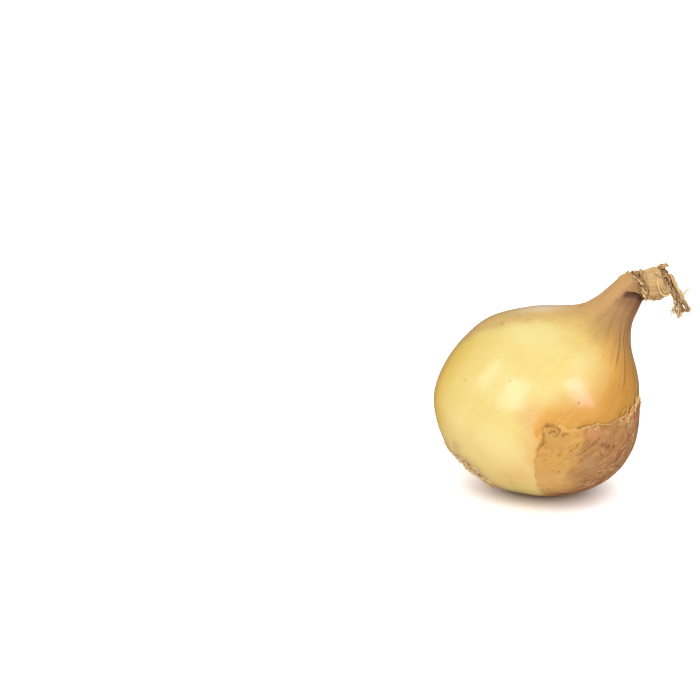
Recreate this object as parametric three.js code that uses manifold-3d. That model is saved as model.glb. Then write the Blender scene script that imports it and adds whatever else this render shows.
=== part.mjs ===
// A yellow onion lying on its flank, as picked and dried. Millimetres, +Z up.
// The origin is the middle of the small flat that the bulb rests on, and the neck leans towards +X.
//
// Each piece is shaped upright, as it grew: Z runs from the root end up to the neck, height 0 is the
// bulb's equator, and +X is the side that the withered top folds over to. Longitudes are in degrees
// about Z from that side. The finished pieces are then rolled, leant over and set down together.
import * as THREE from 'three';
import { mergeVertices } from 'three/addons/utils/BufferGeometryUtils.js';
import Module from 'manifold-3d';

const wasm = await Module();
wasm.setup();

// How the onion lies
const LEAN = 42.5; // degrees that the neck leans from upright
const ROLL = -25; // degrees that the onion is rolled about its own axis from the side it leans to
const REST_DEPTH = 0.9; // how much of the belly the rest spot takes off

// Clearance between pieces that touch on the real onion
const GAP = 0.35;

// Bulb
const BULB_RADIUS = 37; // at the equator, from side to side
const BULB_FLATNESS = 0.985; // front to back, against side to side
const NECK_RADIUS = 6.4; // where the green leaves withered
const NECK_TOP = 49.9; // height at which the neck ends and the withered top begins
const BULB_COLUMNS = 72;
const BULB_RINGS = 36;

// The bulb's outline from the root dish to the neck's top. Each row is a height, the radius there and
// how far the middle of the ring stands off the axis towards +X.
const OUTLINE = [
  [-31.6, 0, -4.3],
  [-31.9, 4.0, -4.3],
  [-34.3, 7.2, -4.3],
  [-34.4, 9.6, -4.3],
  [-33.1, 13.2, -4.3],
  [-30.2, 18.9, -4.1],
  [-24.8, 26.4, -3.3],
  [-19.0, 31.2, -2.2],
  [-10.5, 35.3, -0.8],
  [0, BULB_RADIUS, 0.2],
  [11.6, 34.9, 0.3],
  [24.9, 25.6, 0.4],
  [31.6, 18.3, 0.3],
  [37.0, 12.0, -0.8],
  [43.3, 8.1, -2.2],
  [NECK_TOP, NECK_RADIUS, -2.8],
];

// Pleats round the neck, deepest at one longitude, and puckers round the root dish: they set in at one
// height and are full at the other. The puckers die out again at the lip of the dish.
const NECK_PLEATS = { count: 15, depth: 0.55, shallow: 0.4, deepest: -15, from: 25, full: 44 };
const ROOT_PUCKERS = { count: 24, depth: 0.3, from: -26, full: -32, lip: -34.2 };

// Basal plate and roots. A root's reach is in shares of the outline's length.
const PLATE_RADIUS = 5.2;
const PLATE_DEPTH = 2.2;
const PLATE_SIDES = 18;
const ROOT_COUNT = 36;
const ROOT_RADIUS = 0.5;
const ROOT_BASE = 0.03;
const ROOT_REACH = { shortest: 0.078, longest: 0.118 };

// Torn scrap of brown outer skin. Its top and bottom edges are heights by longitude, and its top edge
// curls off the bulb by an amount that also goes by longitude.
const SCRAP_THICKNESS = 0.6;
const SCRAP_BED = 0.95; // how far the bulb is drawn in under the scrap, so that the scrap hardly stands out
const BED_SLOPE = { from: 2, to: 7 }; // where the bed ends, in mm out from the scrap's edges
const SCRAP_COLUMNS = 48;
const SCRAP_ROWS = 7;
const SCRAP_FROM = -82;
const SCRAP_TO = 52;
const SCRAP_TOP = [
  [-82, -4], [-71, 0], [-60, 6], [-45, 14], [-23, 23], [-3, 25], [20, 18], [40, 6], [52, -2],
];
const SCRAP_BOTTOM = [
  [-82, -7.5], [-60, -18.5], [-38, -22], [-15, -21], [5, -15.5], [25, -11], [40, -11], [52, -5],
];
const SCRAP_CURLS = [
  [-82, 0.8], [-66, 0.1], [-35, 0.1], [-22, 0.4], [-8, 0], [16, 0.1], [34, 0.8], [52, 0.3],
];

// Withered top. The first rings stand on the neck, the next ones fan round the crease on the +X side,
// and the last ones make a flat crumpled sheath that is open at its end. Each row is the ring's height,
// its shift towards +X and towards the front (-Y), the angle of its plane from level, and its half width
// and half depth.
const SHEATH = [
  {
    height: NECK_TOP + GAP, shift: -2.8, front: 0, angle: 0,
    width: NECK_RADIUS - 0.05, depth: NECK_RADIUS - 0.2,
  },
  { height: 52.6, shift: -2.9, front: 0, angle: 6, width: 6.1, depth: 5.7 },
  { height: 54.6, shift: -2.2, front: 0.2, angle: 22, width: 5.5, depth: 4.9 },
  { height: 56.5, shift: -0.6, front: 0.6, angle: 37, width: 4.9, depth: 3.9 },
  { height: 58.4, shift: 1.2, front: 1.1, angle: 45, width: 5.3, depth: 3.6 },
  { height: 60.3, shift: 2.6, front: 1.6, angle: 45, width: 5.6, depth: 3.7 },
  { height: 61.9, shift: 3.3, front: 2.0, angle: 40, width: 5.7, depth: 3.6 },
  { height: 63.1, shift: 4.0, front: 2.3, angle: 36, width: 5.2, depth: 3.3 },
];
const SHEATH_COLUMNS = 26;
const SHEATH_CRUMPLE = 0.045; // share of the ring's width
const MOUTH_WALL = 1.1;
const MOUTH_DEPTH = 3.2;
const SHRED_COUNT = 12;
const SHRED_STEPS = 7;
const SHRED_HALF_THICKNESS = 0.45;

const { degToRad, smoothstep, lerp } = THREE.MathUtils;

const outline = new THREE.CatmullRomCurve3(
  OUTLINE.map(([height, radius, shift]) => new THREE.Vector3(radius, shift, height)),
);

// Random numbers from 0 to 1 that are the same on every run.
function seeded(seed) {
  return () => {
    seed = (seed + 0x6d2b79f5) | 0;
    let mixed = Math.imul(seed ^ (seed >>> 15), seed | 1);
    mixed ^= mixed + Math.imul(mixed ^ (mixed >>> 7), mixed | 61);
    return ((mixed ^ (mixed >>> 14)) >>> 0) / 2 ** 32;
  };
}

// A value that is read off a table of [place, value] rows, smooth from row to row.
function along(rows, place) {
  const last = rows.length - 1;
  if (place <= rows[0][0]) return rows[0][1];
  if (place >= rows[last][0]) return rows[last][1];
  const next = rows.findIndex(([at]) => at > place);
  const [[from, low], [to, high]] = [rows[next - 1], rows[next]];
  return lerp(low, high, smoothstep(place, from, to));
}

// The point along the outline, from 0 at the root to 1 at the neck, that is at a height above the dish.
function placeAtHeight(height) {
  let [low, high] = [0.1, 1];
  for (let step = 0; step < 24; step++) {
    const middle = (low + high) / 2;
    if (outline.getPointAt(middle).z < height) low = middle;
    else high = middle;
  }
  return low;
}

// The low relief of the skin: pleats drawn in at the neck and puckers drawn in round the root plate.
function reliefAt(angle, height) {
  // The neck's pleats are deepest on the side that it folds over to.
  const towards = 0.5 + 0.5 * Math.cos(angle - degToRad(NECK_PLEATS.deepest));
  const neck =
    NECK_PLEATS.depth *
    lerp(NECK_PLEATS.shallow, 1, towards) *
    smoothstep(height, NECK_PLEATS.from, NECK_PLEATS.full);
  const root =
    ROOT_PUCKERS.depth *
    (1 - smoothstep(height, ROOT_PUCKERS.full, ROOT_PUCKERS.from)) *
    smoothstep(height, ROOT_PUCKERS.lip, ROOT_PUCKERS.full);
  const pleat = Math.cos(NECK_PLEATS.count * angle + 0.9 * Math.sin(3 * angle));
  const pucker = Math.cos(ROOT_PUCKERS.count * angle + 0.7 * Math.sin(4 * angle));
  return neck * pleat + root * pucker;
}

// How much of the bed under the scrap a place on the skin has: 1 under the scrap, 0 well clear of it.
function bedAt(angle, height) {
  const longitude = THREE.MathUtils.euclideanModulo(THREE.MathUtils.radToDeg(angle) + 180, 360) - 180;
  const above = height - along(SCRAP_TOP, longitude);
  const below = along(SCRAP_BOTTOM, longitude) - height;
  const beside = degToRad(Math.max(SCRAP_FROM - longitude, longitude - SCRAP_TO)) * BULB_RADIUS;
  return 1 - smoothstep(Math.max(above, below, beside), BED_SLOPE.from, BED_SLOPE.to);
}

// A point of the bulb's skin, lifted off it along the outline's outward normal.
function skinPoint(angle, place, lift = 0) {
  const { x: radius, y: shift, z: height } = outline.getPointAt(place);
  const tangent = outline.getTangentAt(place);
  const slope = Math.hypot(tangent.x, tangent.z);
  const depth = lift + reliefAt(angle, height) - SCRAP_BED * bedAt(angle, height);
  const reach = radius + (depth * tangent.z) / slope;
  return new THREE.Vector3(
    shift + reach * Math.cos(angle),
    reach * Math.sin(angle) * (radius > 3 ? BULB_FLATNESS : 1),
    height - (depth * tangent.x) / slope,
  );
}

// A closed mesh through rings of points, each end closed by a fan to the middle of its ring.
function skinThrough(rings) {
  const columns = rings[0].length;
  const middleOf = (ring) =>
    ring.reduce((sum, point) => sum.add(point), new THREE.Vector3()).divideScalar(columns);
  const points = [...rings.flat(), middleOf(rings[0]), middleOf(rings.at(-1))];
  const [first, last] = [points.length - 2, points.length - 1];
  const topRing = (rings.length - 1) * columns;
  const index = [];
  for (let column = 0; column < columns; column++) {
    const next = (column + 1) % columns;
    for (let start = 0; start < topRing; start += columns) {
      const [a, b, c, d] = [start + column, start + next, start + columns + next, start + columns + column];
      index.push(a, b, c, a, c, d);
    }
    index.push(first, next, column, last, topRing + column, topRing + next);
  }
  return new THREE.BufferGeometry().setFromPoints(points).setIndex(index);
}

function toSolid(geometry) {
  const bare = geometry.clone();
  bare.deleteAttribute('normal');
  bare.deleteAttribute('uv');
  const merged = mergeVertices(bare, 1e-4);
  return new wasm.Manifold(
    new wasm.Mesh({
      numProp: 3,
      vertProperties: merged.getAttribute('position').array,
      triVerts: Uint32Array.from(merged.index.array),
    }),
  );
}

function toGeometry(solid) {
  const { vertProperties, triVerts } = solid.getMesh();
  return new THREE.BufferGeometry()
    .setAttribute('position', new THREE.BufferAttribute(vertProperties, 3))
    .setIndex(new THREE.BufferAttribute(triVerts, 1));
}

// A slim solid along a smooth line. sectionAt(t) gives its half width, half thickness and twist.
function slimSolid(points, steps, sides, sectionAt) {
  const line = new THREE.CatmullRomCurve3(points);
  const { normals, binormals } = line.computeFrenetFrames(steps);
  const rings = [];
  for (let step = 0; step <= steps; step++) {
    const middle = line.getPointAt(step / steps);
    const { width, thickness, twist = 0 } = sectionAt(step / steps);
    const ring = [];
    for (let side = 0; side < sides; side++) {
      const angle = (2 * Math.PI * (side + 0.5)) / sides;
      const [wide, thin] = [width * Math.cos(angle), thickness * Math.sin(angle)];
      const across = wide * Math.cos(twist) - thin * Math.sin(twist);
      const through = wide * Math.sin(twist) + thin * Math.cos(twist);
      ring.push(
        middle.clone().addScaledVector(normals[step], across).addScaledVector(binormals[step], through),
      );
    }
    rings.push(ring);
  }
  return toSolid(skinThrough(rings));
}

// The turn that lays the upright onion down.
const lying = new THREE.Matrix4().makeRotationFromEuler(
  new THREE.Euler(0, degToRad(LEAN), degToRad(ROLL)),
);

// The bulb with its neck, in its close golden skin, and where its rest spot is once it lies down.
function makeBulb() {
  const rings = [];
  for (let ring = 0; ring <= BULB_RINGS; ring++) {
    // The first ring is small and not a point, so that the dish closes with a fan.
    const place = Math.max(0.01, ring / BULB_RINGS);
    rings.push(
      Array.from({ length: BULB_COLUMNS }, (_, column) =>
        skinPoint((2 * Math.PI * column) / BULB_COLUMNS, place),
      ),
    );
  }
  const lowest = Math.min(...rings.flat().map((point) => point.clone().applyMatrix4(lying).z));
  const floor = lowest + REST_DEPTH;

  const slabSize = 60;
  const slab = new THREE.BoxGeometry(slabSize, slabSize, slabSize)
    .translate(0, 0, floor - slabSize / 2)
    .applyMatrix4(lying.clone().invert());
  const geometry = toGeometry(toSolid(skinThrough(rings)).subtract(toSolid(slab)));

  const laid = geometry.clone().applyMatrix4(lying).getAttribute('position');
  const flat = new THREE.Box3();
  for (let i = 0; i < laid.count; i++) {
    const point = new THREE.Vector3().fromBufferAttribute(laid, i);
    if (point.z < floor + 1e-3) flat.expandByPoint(point);
  }
  return { geometry, restSpot: flat.getCenter(new THREE.Vector3()).setZ(floor) };
}

// The basal plate, a blunt disc that sits in the dish at the root end.
function makePlate() {
  const [height, , shift] = OUTLINE[0];
  const top = height - GAP - 0.2;
  const profile = [
    [0, top - PLATE_DEPTH],
    [0.55 * PLATE_RADIUS, top - PLATE_DEPTH],
    [0.9 * PLATE_RADIUS, top - 0.75 * PLATE_DEPTH],
    [0.8 * PLATE_RADIUS, top - 0.3 * PLATE_DEPTH],
    [0.5 * PLATE_RADIUS, top],
    [0, top],
  ].map(([radius, z]) => new THREE.Vector2(radius, z));
  return toSolid(new THREE.LatheGeometry(profile, PLATE_SIDES).rotateX(Math.PI / 2).translate(shift, 0, 0));
}

// The dry roots: they leave the plate, climb over the rim of the dish and lie curled along the skin.
function makeRootTuft() {
  const random = seeded(7);
  const rise = PLATE_DEPTH - 0.3;
  let tuft = makePlate();
  for (let root = 0; root < ROOT_COUNT; root++) {
    const angle = (2 * Math.PI * (root + 0.6 * random())) / ROOT_COUNT;
    const reach = lerp(ROOT_REACH.shortest, ROOT_REACH.longest, random() ** 1.3);
    const curl = lerp(-0.45, 0.45, random());
    const loft = lerp(0, 0.7, random() ** 2);
    const points = [0, 0.3, 0.65, 1].map((t) => {
      const lift = lerp(rise, GAP + ROOT_RADIUS + 0.1, smoothstep(t, 0, 0.6)) + loft * Math.sin(Math.PI * t);
      return skinPoint(angle + curl * t * t, lerp(ROOT_BASE, reach, t), lift);
    });
    const thin = ROOT_RADIUS * lerp(0.95, 1.1, random());
    const sectionAt = (t) => ({ width: thin * (1 - 0.12 * t), thickness: thin * (1 - 0.12 * t) });
    tuft = tuft.add(slimSolid(points, 3, 4, sectionAt));
  }
  return toGeometry(tuft);
}

// The torn scrap of outer skin on the flank, as one thin shell with ragged edges.
function makeScrap() {
  const faces = [GAP, GAP + SCRAP_THICKNESS].map((lift) => {
    const grid = [];
    for (let column = 0; column <= SCRAP_COLUMNS; column++) {
      const longitude = lerp(SCRAP_FROM, SCRAP_TO, column / SCRAP_COLUMNS);
      const angle = degToRad(longitude);
      const ragged = 0.6 * Math.sin(17 * angle) + 0.5 * Math.sin(31 * angle + 1) + 0.4 * Math.sin(53 * angle);
      const top = along(SCRAP_TOP, longitude) + ragged;
      const bottom = along(SCRAP_BOTTOM, longitude) + 0.8 * Math.sin(23 * angle + 2);
      for (let row = 0; row <= SCRAP_ROWS; row++) {
        const share = row / SCRAP_ROWS;
        const curl = along(SCRAP_CURLS, longitude) * smoothstep(share, 0.78, 1);
        grid.push(skinPoint(angle, placeAtHeight(lerp(bottom, top, share)), lift + curl));
      }
    }
    return grid;
  });
  const perFace = faces[0].length;
  const at = (face, column, row) => face * perFace + column * (SCRAP_ROWS + 1) + row;
  const index = [];
  const quad = (a, b, c, d) => index.push(a, b, c, a, c, d);
  for (let column = 0; column < SCRAP_COLUMNS; column++) {
    for (let row = 0; row < SCRAP_ROWS; row++) {
      quad(at(1, column, row), at(1, column + 1, row), at(1, column + 1, row + 1), at(1, column, row + 1));
      quad(at(0, column, row), at(0, column, row + 1), at(0, column + 1, row + 1), at(0, column + 1, row));
    }
    quad(at(0, column, 0), at(0, column + 1, 0), at(1, column + 1, 0), at(1, column, 0));
    quad(
      at(1, column, SCRAP_ROWS),
      at(1, column + 1, SCRAP_ROWS),
      at(0, column + 1, SCRAP_ROWS),
      at(0, column, SCRAP_ROWS),
    );
  }
  for (let row = 0; row < SCRAP_ROWS; row++) {
    quad(at(0, 0, row), at(1, 0, row), at(1, 0, row + 1), at(0, 0, row + 1));
    quad(
      at(1, SCRAP_COLUMNS, row),
      at(0, SCRAP_COLUMNS, row),
      at(0, SCRAP_COLUMNS, row + 1),
      at(1, SCRAP_COLUMNS, row + 1),
    );
  }
  return new THREE.BufferGeometry().setFromPoints(faces.flat()).setIndex(index);
}

// One ring of the sheath, or a ring inside it that is inset from it and sunk below its plane.
function sheathRing({ height, shift, front, angle, width, depth }, ring, inset = 0, sink = 0) {
  const tilt = degToRad(angle);
  const middle = new THREE.Vector3(shift - sink * Math.sin(tilt), -front, height - sink * Math.cos(tilt));
  const crumple = ring === 0 ? 0 : SHEATH_CRUMPLE;
  return Array.from({ length: SHEATH_COLUMNS }, (_, column) => {
    const round = (2 * Math.PI * column) / SHEATH_COLUMNS;
    const fold = 1 + crumple * Math.cos(7 * round + 0.8 * ring) + crumple * Math.sin(4 * round - 1.1 * ring);
    const across = (width - inset) * fold * Math.cos(round);
    return new THREE.Vector3(
      middle.x + across * Math.cos(tilt),
      middle.y + (depth - inset) * fold * Math.sin(round),
      middle.z - across * Math.sin(tilt),
    );
  });
}

// One torn shred, from inside the sheath's mouth, out over its rim and away to the lower side.
function makeShred(random, number) {
  const mouth = SHEATH.at(-1);
  const tilt = degToRad(mouth.angle);
  const side = lerp(-0.75, 0.75, (number + random()) / SHRED_COUNT);
  const front = lerp(-0.8, 0.8, random());
  const local = (out, across, forward) =>
    new THREE.Vector3(
      mouth.shift + out * Math.sin(tilt) + across * Math.cos(tilt),
      -mouth.front - forward,
      mouth.height + out * Math.cos(tilt) - across * Math.sin(tilt),
    );
  // The few that stand on the upper side of the mouth are short and stay upright.
  const short = side < -0.4;
  const start = mouth.width * side;
  const endOut = short ? 2.6 : lerp(0.4, 6.4, random());
  const endAcross = short ? start + 1 : lerp(9, 13.4, random());
  const wave = lerp(-0.9, 0.9, random());
  const points = [
    local(-MOUTH_DEPTH - 1.2, 0.45 * start, 1.2 * front),
    local(0.2, 0.8 * start, 2.2 * front),
    local(2, lerp(start, endAcross, 0.25), 2.4 * front + wave),
    local(lerp(1.9, endOut, 0.6), lerp(start, endAcross, 0.62), 1.7 * front - wave),
    local(endOut, endAcross, 2.2 * front + 0.6 * wave),
  ];
  const width = lerp(0.6, 1.25, random());
  const turns = lerp(-1.6, 1.6, random());
  return slimSolid(points, SHRED_STEPS, 4, (t) => ({
    width: width * (1 - 0.5 * t) * (1 + 0.2 * Math.sin(11 * t + number)),
    thickness: SHRED_HALF_THICKNESS,
    twist: turns * t,
  }));
}

function makeWitheredTop() {
  const rings = SHEATH.map((row, ring) => sheathRing(row, ring));
  const [rim, last] = [SHEATH.at(-1), SHEATH.length - 1];
  rings.push(sheathRing(rim, last, MOUTH_WALL, 0.2), sheathRing(rim, last, 1.8 * MOUTH_WALL, MOUTH_DEPTH));
  const random = seeded(21);
  let top = toSolid(skinThrough(rings));
  for (let shred = 0; shred < SHRED_COUNT; shred++) top = top.add(makeShred(random, shred));
  return toGeometry(top);
}

function named(name, geometry, color, roughness) {
  const mesh = new THREE.Mesh(
    geometry,
    new THREE.MeshStandardMaterial({ color, roughness, metalness: 0, flatShading: true }),
  );
  mesh.name = name;
  return mesh;
}

const bulb = makeBulb();
const onion = new THREE.Group();
onion.rotation.set(0, degToRad(LEAN), degToRad(ROLL));
onion.position.copy(bulb.restSpot).negate();
onion.add(
  named('bulb', bulb.geometry, 0xe8c46e, 0.35),
  named('outer_skin_scrap', makeScrap(), 0xb98246, 0.6),
  named('withered_top', makeWitheredTop(), 0xc9a468, 0.85),
  named('root_tuft', makeRootTuft(), 0x8a6a48, 0.9),
);

const part = new THREE.Group();
part.add(onion);
export default part;
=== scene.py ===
# A yellow onion lying on its flank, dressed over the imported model.
#
# Every piece is shaped upright, as it grew, in millimetres: Z runs from the root end up to the neck,
# height 0 is the bulb's equator, and +X is the side that the withered top folds over to. Longitudes are
# in degrees about Z from that side. to_row() lays the finished points down and turns them into metres.
import math

import bpy
import numpy as np
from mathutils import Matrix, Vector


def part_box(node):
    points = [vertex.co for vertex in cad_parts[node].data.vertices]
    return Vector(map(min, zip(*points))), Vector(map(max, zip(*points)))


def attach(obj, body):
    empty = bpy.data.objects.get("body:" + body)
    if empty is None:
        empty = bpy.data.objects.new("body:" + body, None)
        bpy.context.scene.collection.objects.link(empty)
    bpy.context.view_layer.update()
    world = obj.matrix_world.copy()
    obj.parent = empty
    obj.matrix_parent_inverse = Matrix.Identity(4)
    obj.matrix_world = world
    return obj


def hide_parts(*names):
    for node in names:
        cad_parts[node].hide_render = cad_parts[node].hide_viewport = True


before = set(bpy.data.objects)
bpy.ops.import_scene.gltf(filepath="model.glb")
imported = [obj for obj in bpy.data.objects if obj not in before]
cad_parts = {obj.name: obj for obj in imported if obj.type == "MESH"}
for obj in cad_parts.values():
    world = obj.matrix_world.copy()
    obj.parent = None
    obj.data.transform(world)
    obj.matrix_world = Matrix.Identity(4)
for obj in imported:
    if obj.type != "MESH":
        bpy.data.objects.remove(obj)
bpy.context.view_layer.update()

# How the onion lies
LEAN = 42.5
ROLL = -25.0

# Bulb: each row of the outline is a height, the radius there and how far the middle of the ring
# stands off the axis towards +X.
BULB_RADIUS = 37.0
BULB_FLATNESS = 0.985
NECK_TOP = 49.9
NECK_RADIUS = 6.4
OUTLINE = [
    (-31.6, 0, -4.3),
    (-31.9, 4.0, -4.3),
    (-34.3, 7.2, -4.3),
    (-34.4, 9.6, -4.3),
    (-33.1, 13.2, -4.3),
    (-30.2, 18.9, -4.1),
    (-24.8, 26.4, -3.3),
    (-19.0, 31.2, -2.2),
    (-10.5, 35.3, -0.8),
    (0, BULB_RADIUS, 0.2),
    (11.6, 34.9, 0.3),
    (24.9, 25.6, 0.4),
    (31.6, 18.3, 0.3),
    (37.0, 12.0, -0.8),
    (43.3, 8.1, -2.2),
    (NECK_TOP, NECK_RADIUS, -2.8),
]
SOURCE_COLUMNS = 72
SOURCE_RINGS = 36
NECK_PLEATS = dict(count=15, depth=0.55, shallow=0.4, deepest=-15, start=25, full=44)
ROOT_PUCKERS = dict(count=24, depth=0.3, start=-26, full=-32, lip=-34.2)

# The torn scrap of brown outer skin: edges as heights by longitude
SCRAP_FROM = -80.5
SCRAP_TO = 52
SCRAP_TOP = [(-82, -4), (-71, 0), (-60, 6), (-45, 14), (-23, 23), (-3, 25), (20, 18), (40, 6), (52, -2)]
SCRAP_BOTTOM = [
    (-82, -5), (-77.5, -7.6), (-73.6, -10.6), (-71, -13.4), (-65, -16.9), (-51, -20.8), (-40, -22.8),
    (-30, -23.2), (-15, -21), (5, -15.5), (25, -11), (40, -11), (52, -5),
]
SCRAP_BED = 0.35
SCRAP_THICKNESS = 0.16

# Withered top: rings with their height, shift towards +X, shift towards the front (-Y), the angle of
# their plane from level, half width and half depth.
SHEATH = [
    (NECK_TOP, -2.8, 0, 0, NECK_RADIUS, NECK_RADIUS),
    (52.6, -2.9, 0, 6, 6.1, 5.7),
    (54.6, -2.2, 0.2, 22, 5.5, 4.9),
    (56.5, -0.6, 0.6, 37, 4.9, 3.9),
    (58.4, 1.2, 1.1, 45, 5.3, 3.6),
    (60.3, 2.6, 1.6, 45, 5.6, 3.7),
    (61.9, 3.3, 2.0, 40, 5.7, 3.6),
    (63.1, 4.0, 2.3, 36, 5.2, 3.3),
]

TAU = 2 * math.pi


# Small numeric helpers

def smooth_line(points, per_segment):
    """Points along a centripetal Catmull-Rom line through the given ones."""
    p = np.asarray(points, float)
    p = np.vstack([2 * p[0] - p[1], p, 2 * p[-1] - p[-2]])
    t = np.linspace(0, 1, per_segment, endpoint=False)[:, None]
    pieces = []
    for a, b, c, d in zip(p, p[1:], p[2:], p[3:]):
        before, here, after = (max(1e-2, np.linalg.norm(v) ** 0.5) for v in (b - a, c - b, d - c))
        leave = ((b - a) / before - (c - a) / (before + here) + (c - b) / here) * here
        arrive = ((c - b) / here - (d - b) / (here + after) + (d - c) / after) * here
        pieces.append(
            b + leave * t
            + (-3 * b + 3 * c - 2 * leave - arrive) * t ** 2
            + (2 * b - 2 * c + leave + arrive) * t ** 3
        )
    pieces.append(p[-2:-1])
    return np.vstack(pieces)


def smoothstep(x, low, high):
    t = np.clip((np.asarray(x, float) - low) / (high - low), 0, 1)
    return t * t * (3 - 2 * t)


def band(x, up_from, up_to, down_from, down_to):
    """Climbs from 0 to 1 between the first two places, and falls back between the last two."""
    return smoothstep(x, up_from, up_to) * (1 - smoothstep(x, down_from, down_to))


def along(rows, place):
    """A value read off a table of (place, value) rows, smooth from row to row."""
    places, values = np.array(rows, float).T
    place = np.clip(np.asarray(place, float), places[0], places[-1])
    above = np.clip(np.searchsorted(places, place, side="right"), 1, len(places) - 1)
    share = smoothstep(place, places[above - 1], places[above])
    return values[above - 1] + (values[above] - values[above - 1]) * share


def bump_at(x, centre, width):
    """A smooth bump of height 1 round a centre."""
    return np.exp(-(((x - centre) / width) ** 2))


def waves(x, seed, lowest, count):
    """A wandering value near -1 to 1 along x: seeded sines, each finer and fainter than the last."""
    finer, fainter = 1.7, 1.35
    random = np.random.default_rng(seed)
    total = np.zeros_like(np.asarray(x, float))
    for step in range(count):
        frequency = lowest * finer ** step * random.uniform(0.9, 1.1)
        total = total + np.sin(frequency * x + random.uniform(0, TAU)) / fainter ** step
    return total / sum(1 / fainter ** step for step in range(count))


# The bulb's surface

LINE_STEPS = 60
LINE = smooth_line([(radius, shift, height) for height, radius, shift in OUTLINE], LINE_STEPS)
LINE_LENGTH = np.concatenate([[0], np.cumsum(np.linalg.norm(np.diff(LINE, axis=0), axis=1))])
LINE_PLACE = LINE_LENGTH / LINE_LENGTH[-1]
LINE_TANGENT = np.gradient(LINE, LINE_PLACE, axis=0)
# The outline only climbs past this share of it, above the dish round the roots.
DISH_SHARE = 0.1


def line_at(place, table):
    """The columns of a table that runs along the outline, read at a place on it."""
    return [np.interp(place, LINE_PLACE, column) for column in table.T]


def place_at_height(height):
    """The place along the outline, from 0 at the root to 1 at the neck, of a height above the dish."""
    upper = LINE_PLACE > DISH_SHARE
    return np.interp(height, LINE[upper, 2], LINE_PLACE[upper])


def radius_at(height):
    return np.interp(height, LINE[LINE_STEPS:, 2], LINE[LINE_STEPS:, 0])


def relief_at(angle, height):
    """How far the source's pleats and puckers stand out, in millimetres."""
    towards = 0.5 + 0.5 * np.cos(angle - math.radians(NECK_PLEATS["deepest"]))
    neck = NECK_PLEATS["depth"] * (NECK_PLEATS["shallow"] + (1 - NECK_PLEATS["shallow"]) * towards)
    neck = neck * smoothstep(height, NECK_PLEATS["start"], NECK_PLEATS["full"])
    root = ROOT_PUCKERS["depth"] * (1 - smoothstep(height, ROOT_PUCKERS["full"], ROOT_PUCKERS["start"]))
    root = root * smoothstep(height, ROOT_PUCKERS["lip"], ROOT_PUCKERS["full"])
    pleat = np.cos(NECK_PLEATS["count"] * angle + 0.9 * np.sin(3 * angle))
    pucker = np.cos(ROOT_PUCKERS["count"] * angle + 0.7 * np.sin(4 * angle))
    return neck * pleat + root * pucker


def longitude_of(angle):
    return (np.degrees(angle) + 180) % 360 - 180


def scrap_distance(angle, height):
    """How far a place on the skin is outside the scrap, in millimetres, and below 0 inside it."""
    longitude = longitude_of(angle)
    above = height - along(SCRAP_TOP, longitude)
    below = along(SCRAP_BOTTOM, longitude) - height
    beside = np.radians(np.maximum(SCRAP_FROM - longitude, longitude - SCRAP_TO)) * BULB_RADIUS
    return np.maximum(np.maximum(above, below), beside)


def skin_point(angle, place, lift=0.0, fine=None, bed=SCRAP_BED):
    """Points of the bulb's skin, lifted along the outline's outward normal."""
    angle, place, lift = np.broadcast_arrays(*(np.asarray(v, float) for v in (angle, place, lift)))
    radius, shift, height = line_at(place, LINE)
    out, _, up = line_at(place, LINE_TANGENT)
    slope = np.hypot(out, up)
    depth = lift + relief_at(angle, height)
    if fine is not None:
        depth = depth + fine(angle, height)
    if bed:
        depth = depth - bed * (1 - smoothstep(scrap_distance(angle, height), 1, 5))
    reach = radius + depth * up / slope
    flatness = np.where(radius > 3, BULB_FLATNESS, 1)
    return np.stack(
        [shift + reach * np.cos(angle), reach * np.sin(angle) * flatness, height - depth * out / slope], -1
    )


# From upright millimetres to the row frame

def turn(axis, degrees):
    c, s = math.cos(math.radians(degrees)), math.sin(math.radians(degrees))
    return np.array({"Y": [[c, 0, s], [0, 1, 0], [-s, 0, c]], "Z": [[c, -s, 0], [s, c, 0], [0, 0, 1]]}[axis])


LYING = turn("Y", LEAN) @ turn("Z", ROLL)


def find_rest_spot():
    """Where the row's origin is in the lying frame: the source's own coarse bulb is set on its packed box."""
    places = np.maximum(0.01, np.arange(SOURCE_RINGS + 1) / SOURCE_RINGS)[:, None]
    angles = (TAU * np.arange(SOURCE_COLUMNS) / SOURCE_COLUMNS)[None, :]
    lying = skin_point(angles, places, bed=0).reshape(-1, 3) @ LYING.T
    _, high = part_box("bulb")
    return lying.max(0) - 1000 * np.array(high)


REST_SPOT = find_rest_spot()


def to_row(points):
    return (np.asarray(points, float) @ LYING.T - REST_SPOT) / 1000


# Meshes

def new_object(name, data):
    made = bpy.data.objects.new(name, data)
    bpy.context.scene.collection.objects.link(made)
    return made


def add_mesh(name, points, faces, material, attributes):
    """A smooth mesh object through upright points. Each attribute is one number or vector a point."""
    mesh = bpy.data.meshes.new(name)
    mesh.from_pydata(to_row(points).tolist(), [], [list(map(int, face)) for face in faces])
    mesh.polygons.foreach_set("use_smooth", [True] * len(mesh.polygons))
    mesh.materials.append(material)
    for key, value in {"grown": points, **attributes}.items():
        value = np.asarray(value, np.float32)
        kind, field = ("FLOAT_VECTOR", "vector") if value.ndim == 2 else ("FLOAT", "value")
        layer = mesh.attributes.new(key, kind, "POINT")
        layer.data.foreach_set(field, value.reshape(-1))
    mesh.update()
    return new_object(name, mesh)


def grid_faces(rows, columns, wrap=True):
    """Quads of a grid of points that is stored row by row, facing out when rows run upwards."""
    here = np.arange(rows - 1)[:, None] * columns
    above = here + columns
    column = np.arange(columns if wrap else columns - 1)[None, :]
    beside = (column + 1) % columns
    corners = [here + column, here + beside, above + beside, above + column]
    return np.stack([corner.ravel() for corner in corners], -1)


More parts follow.
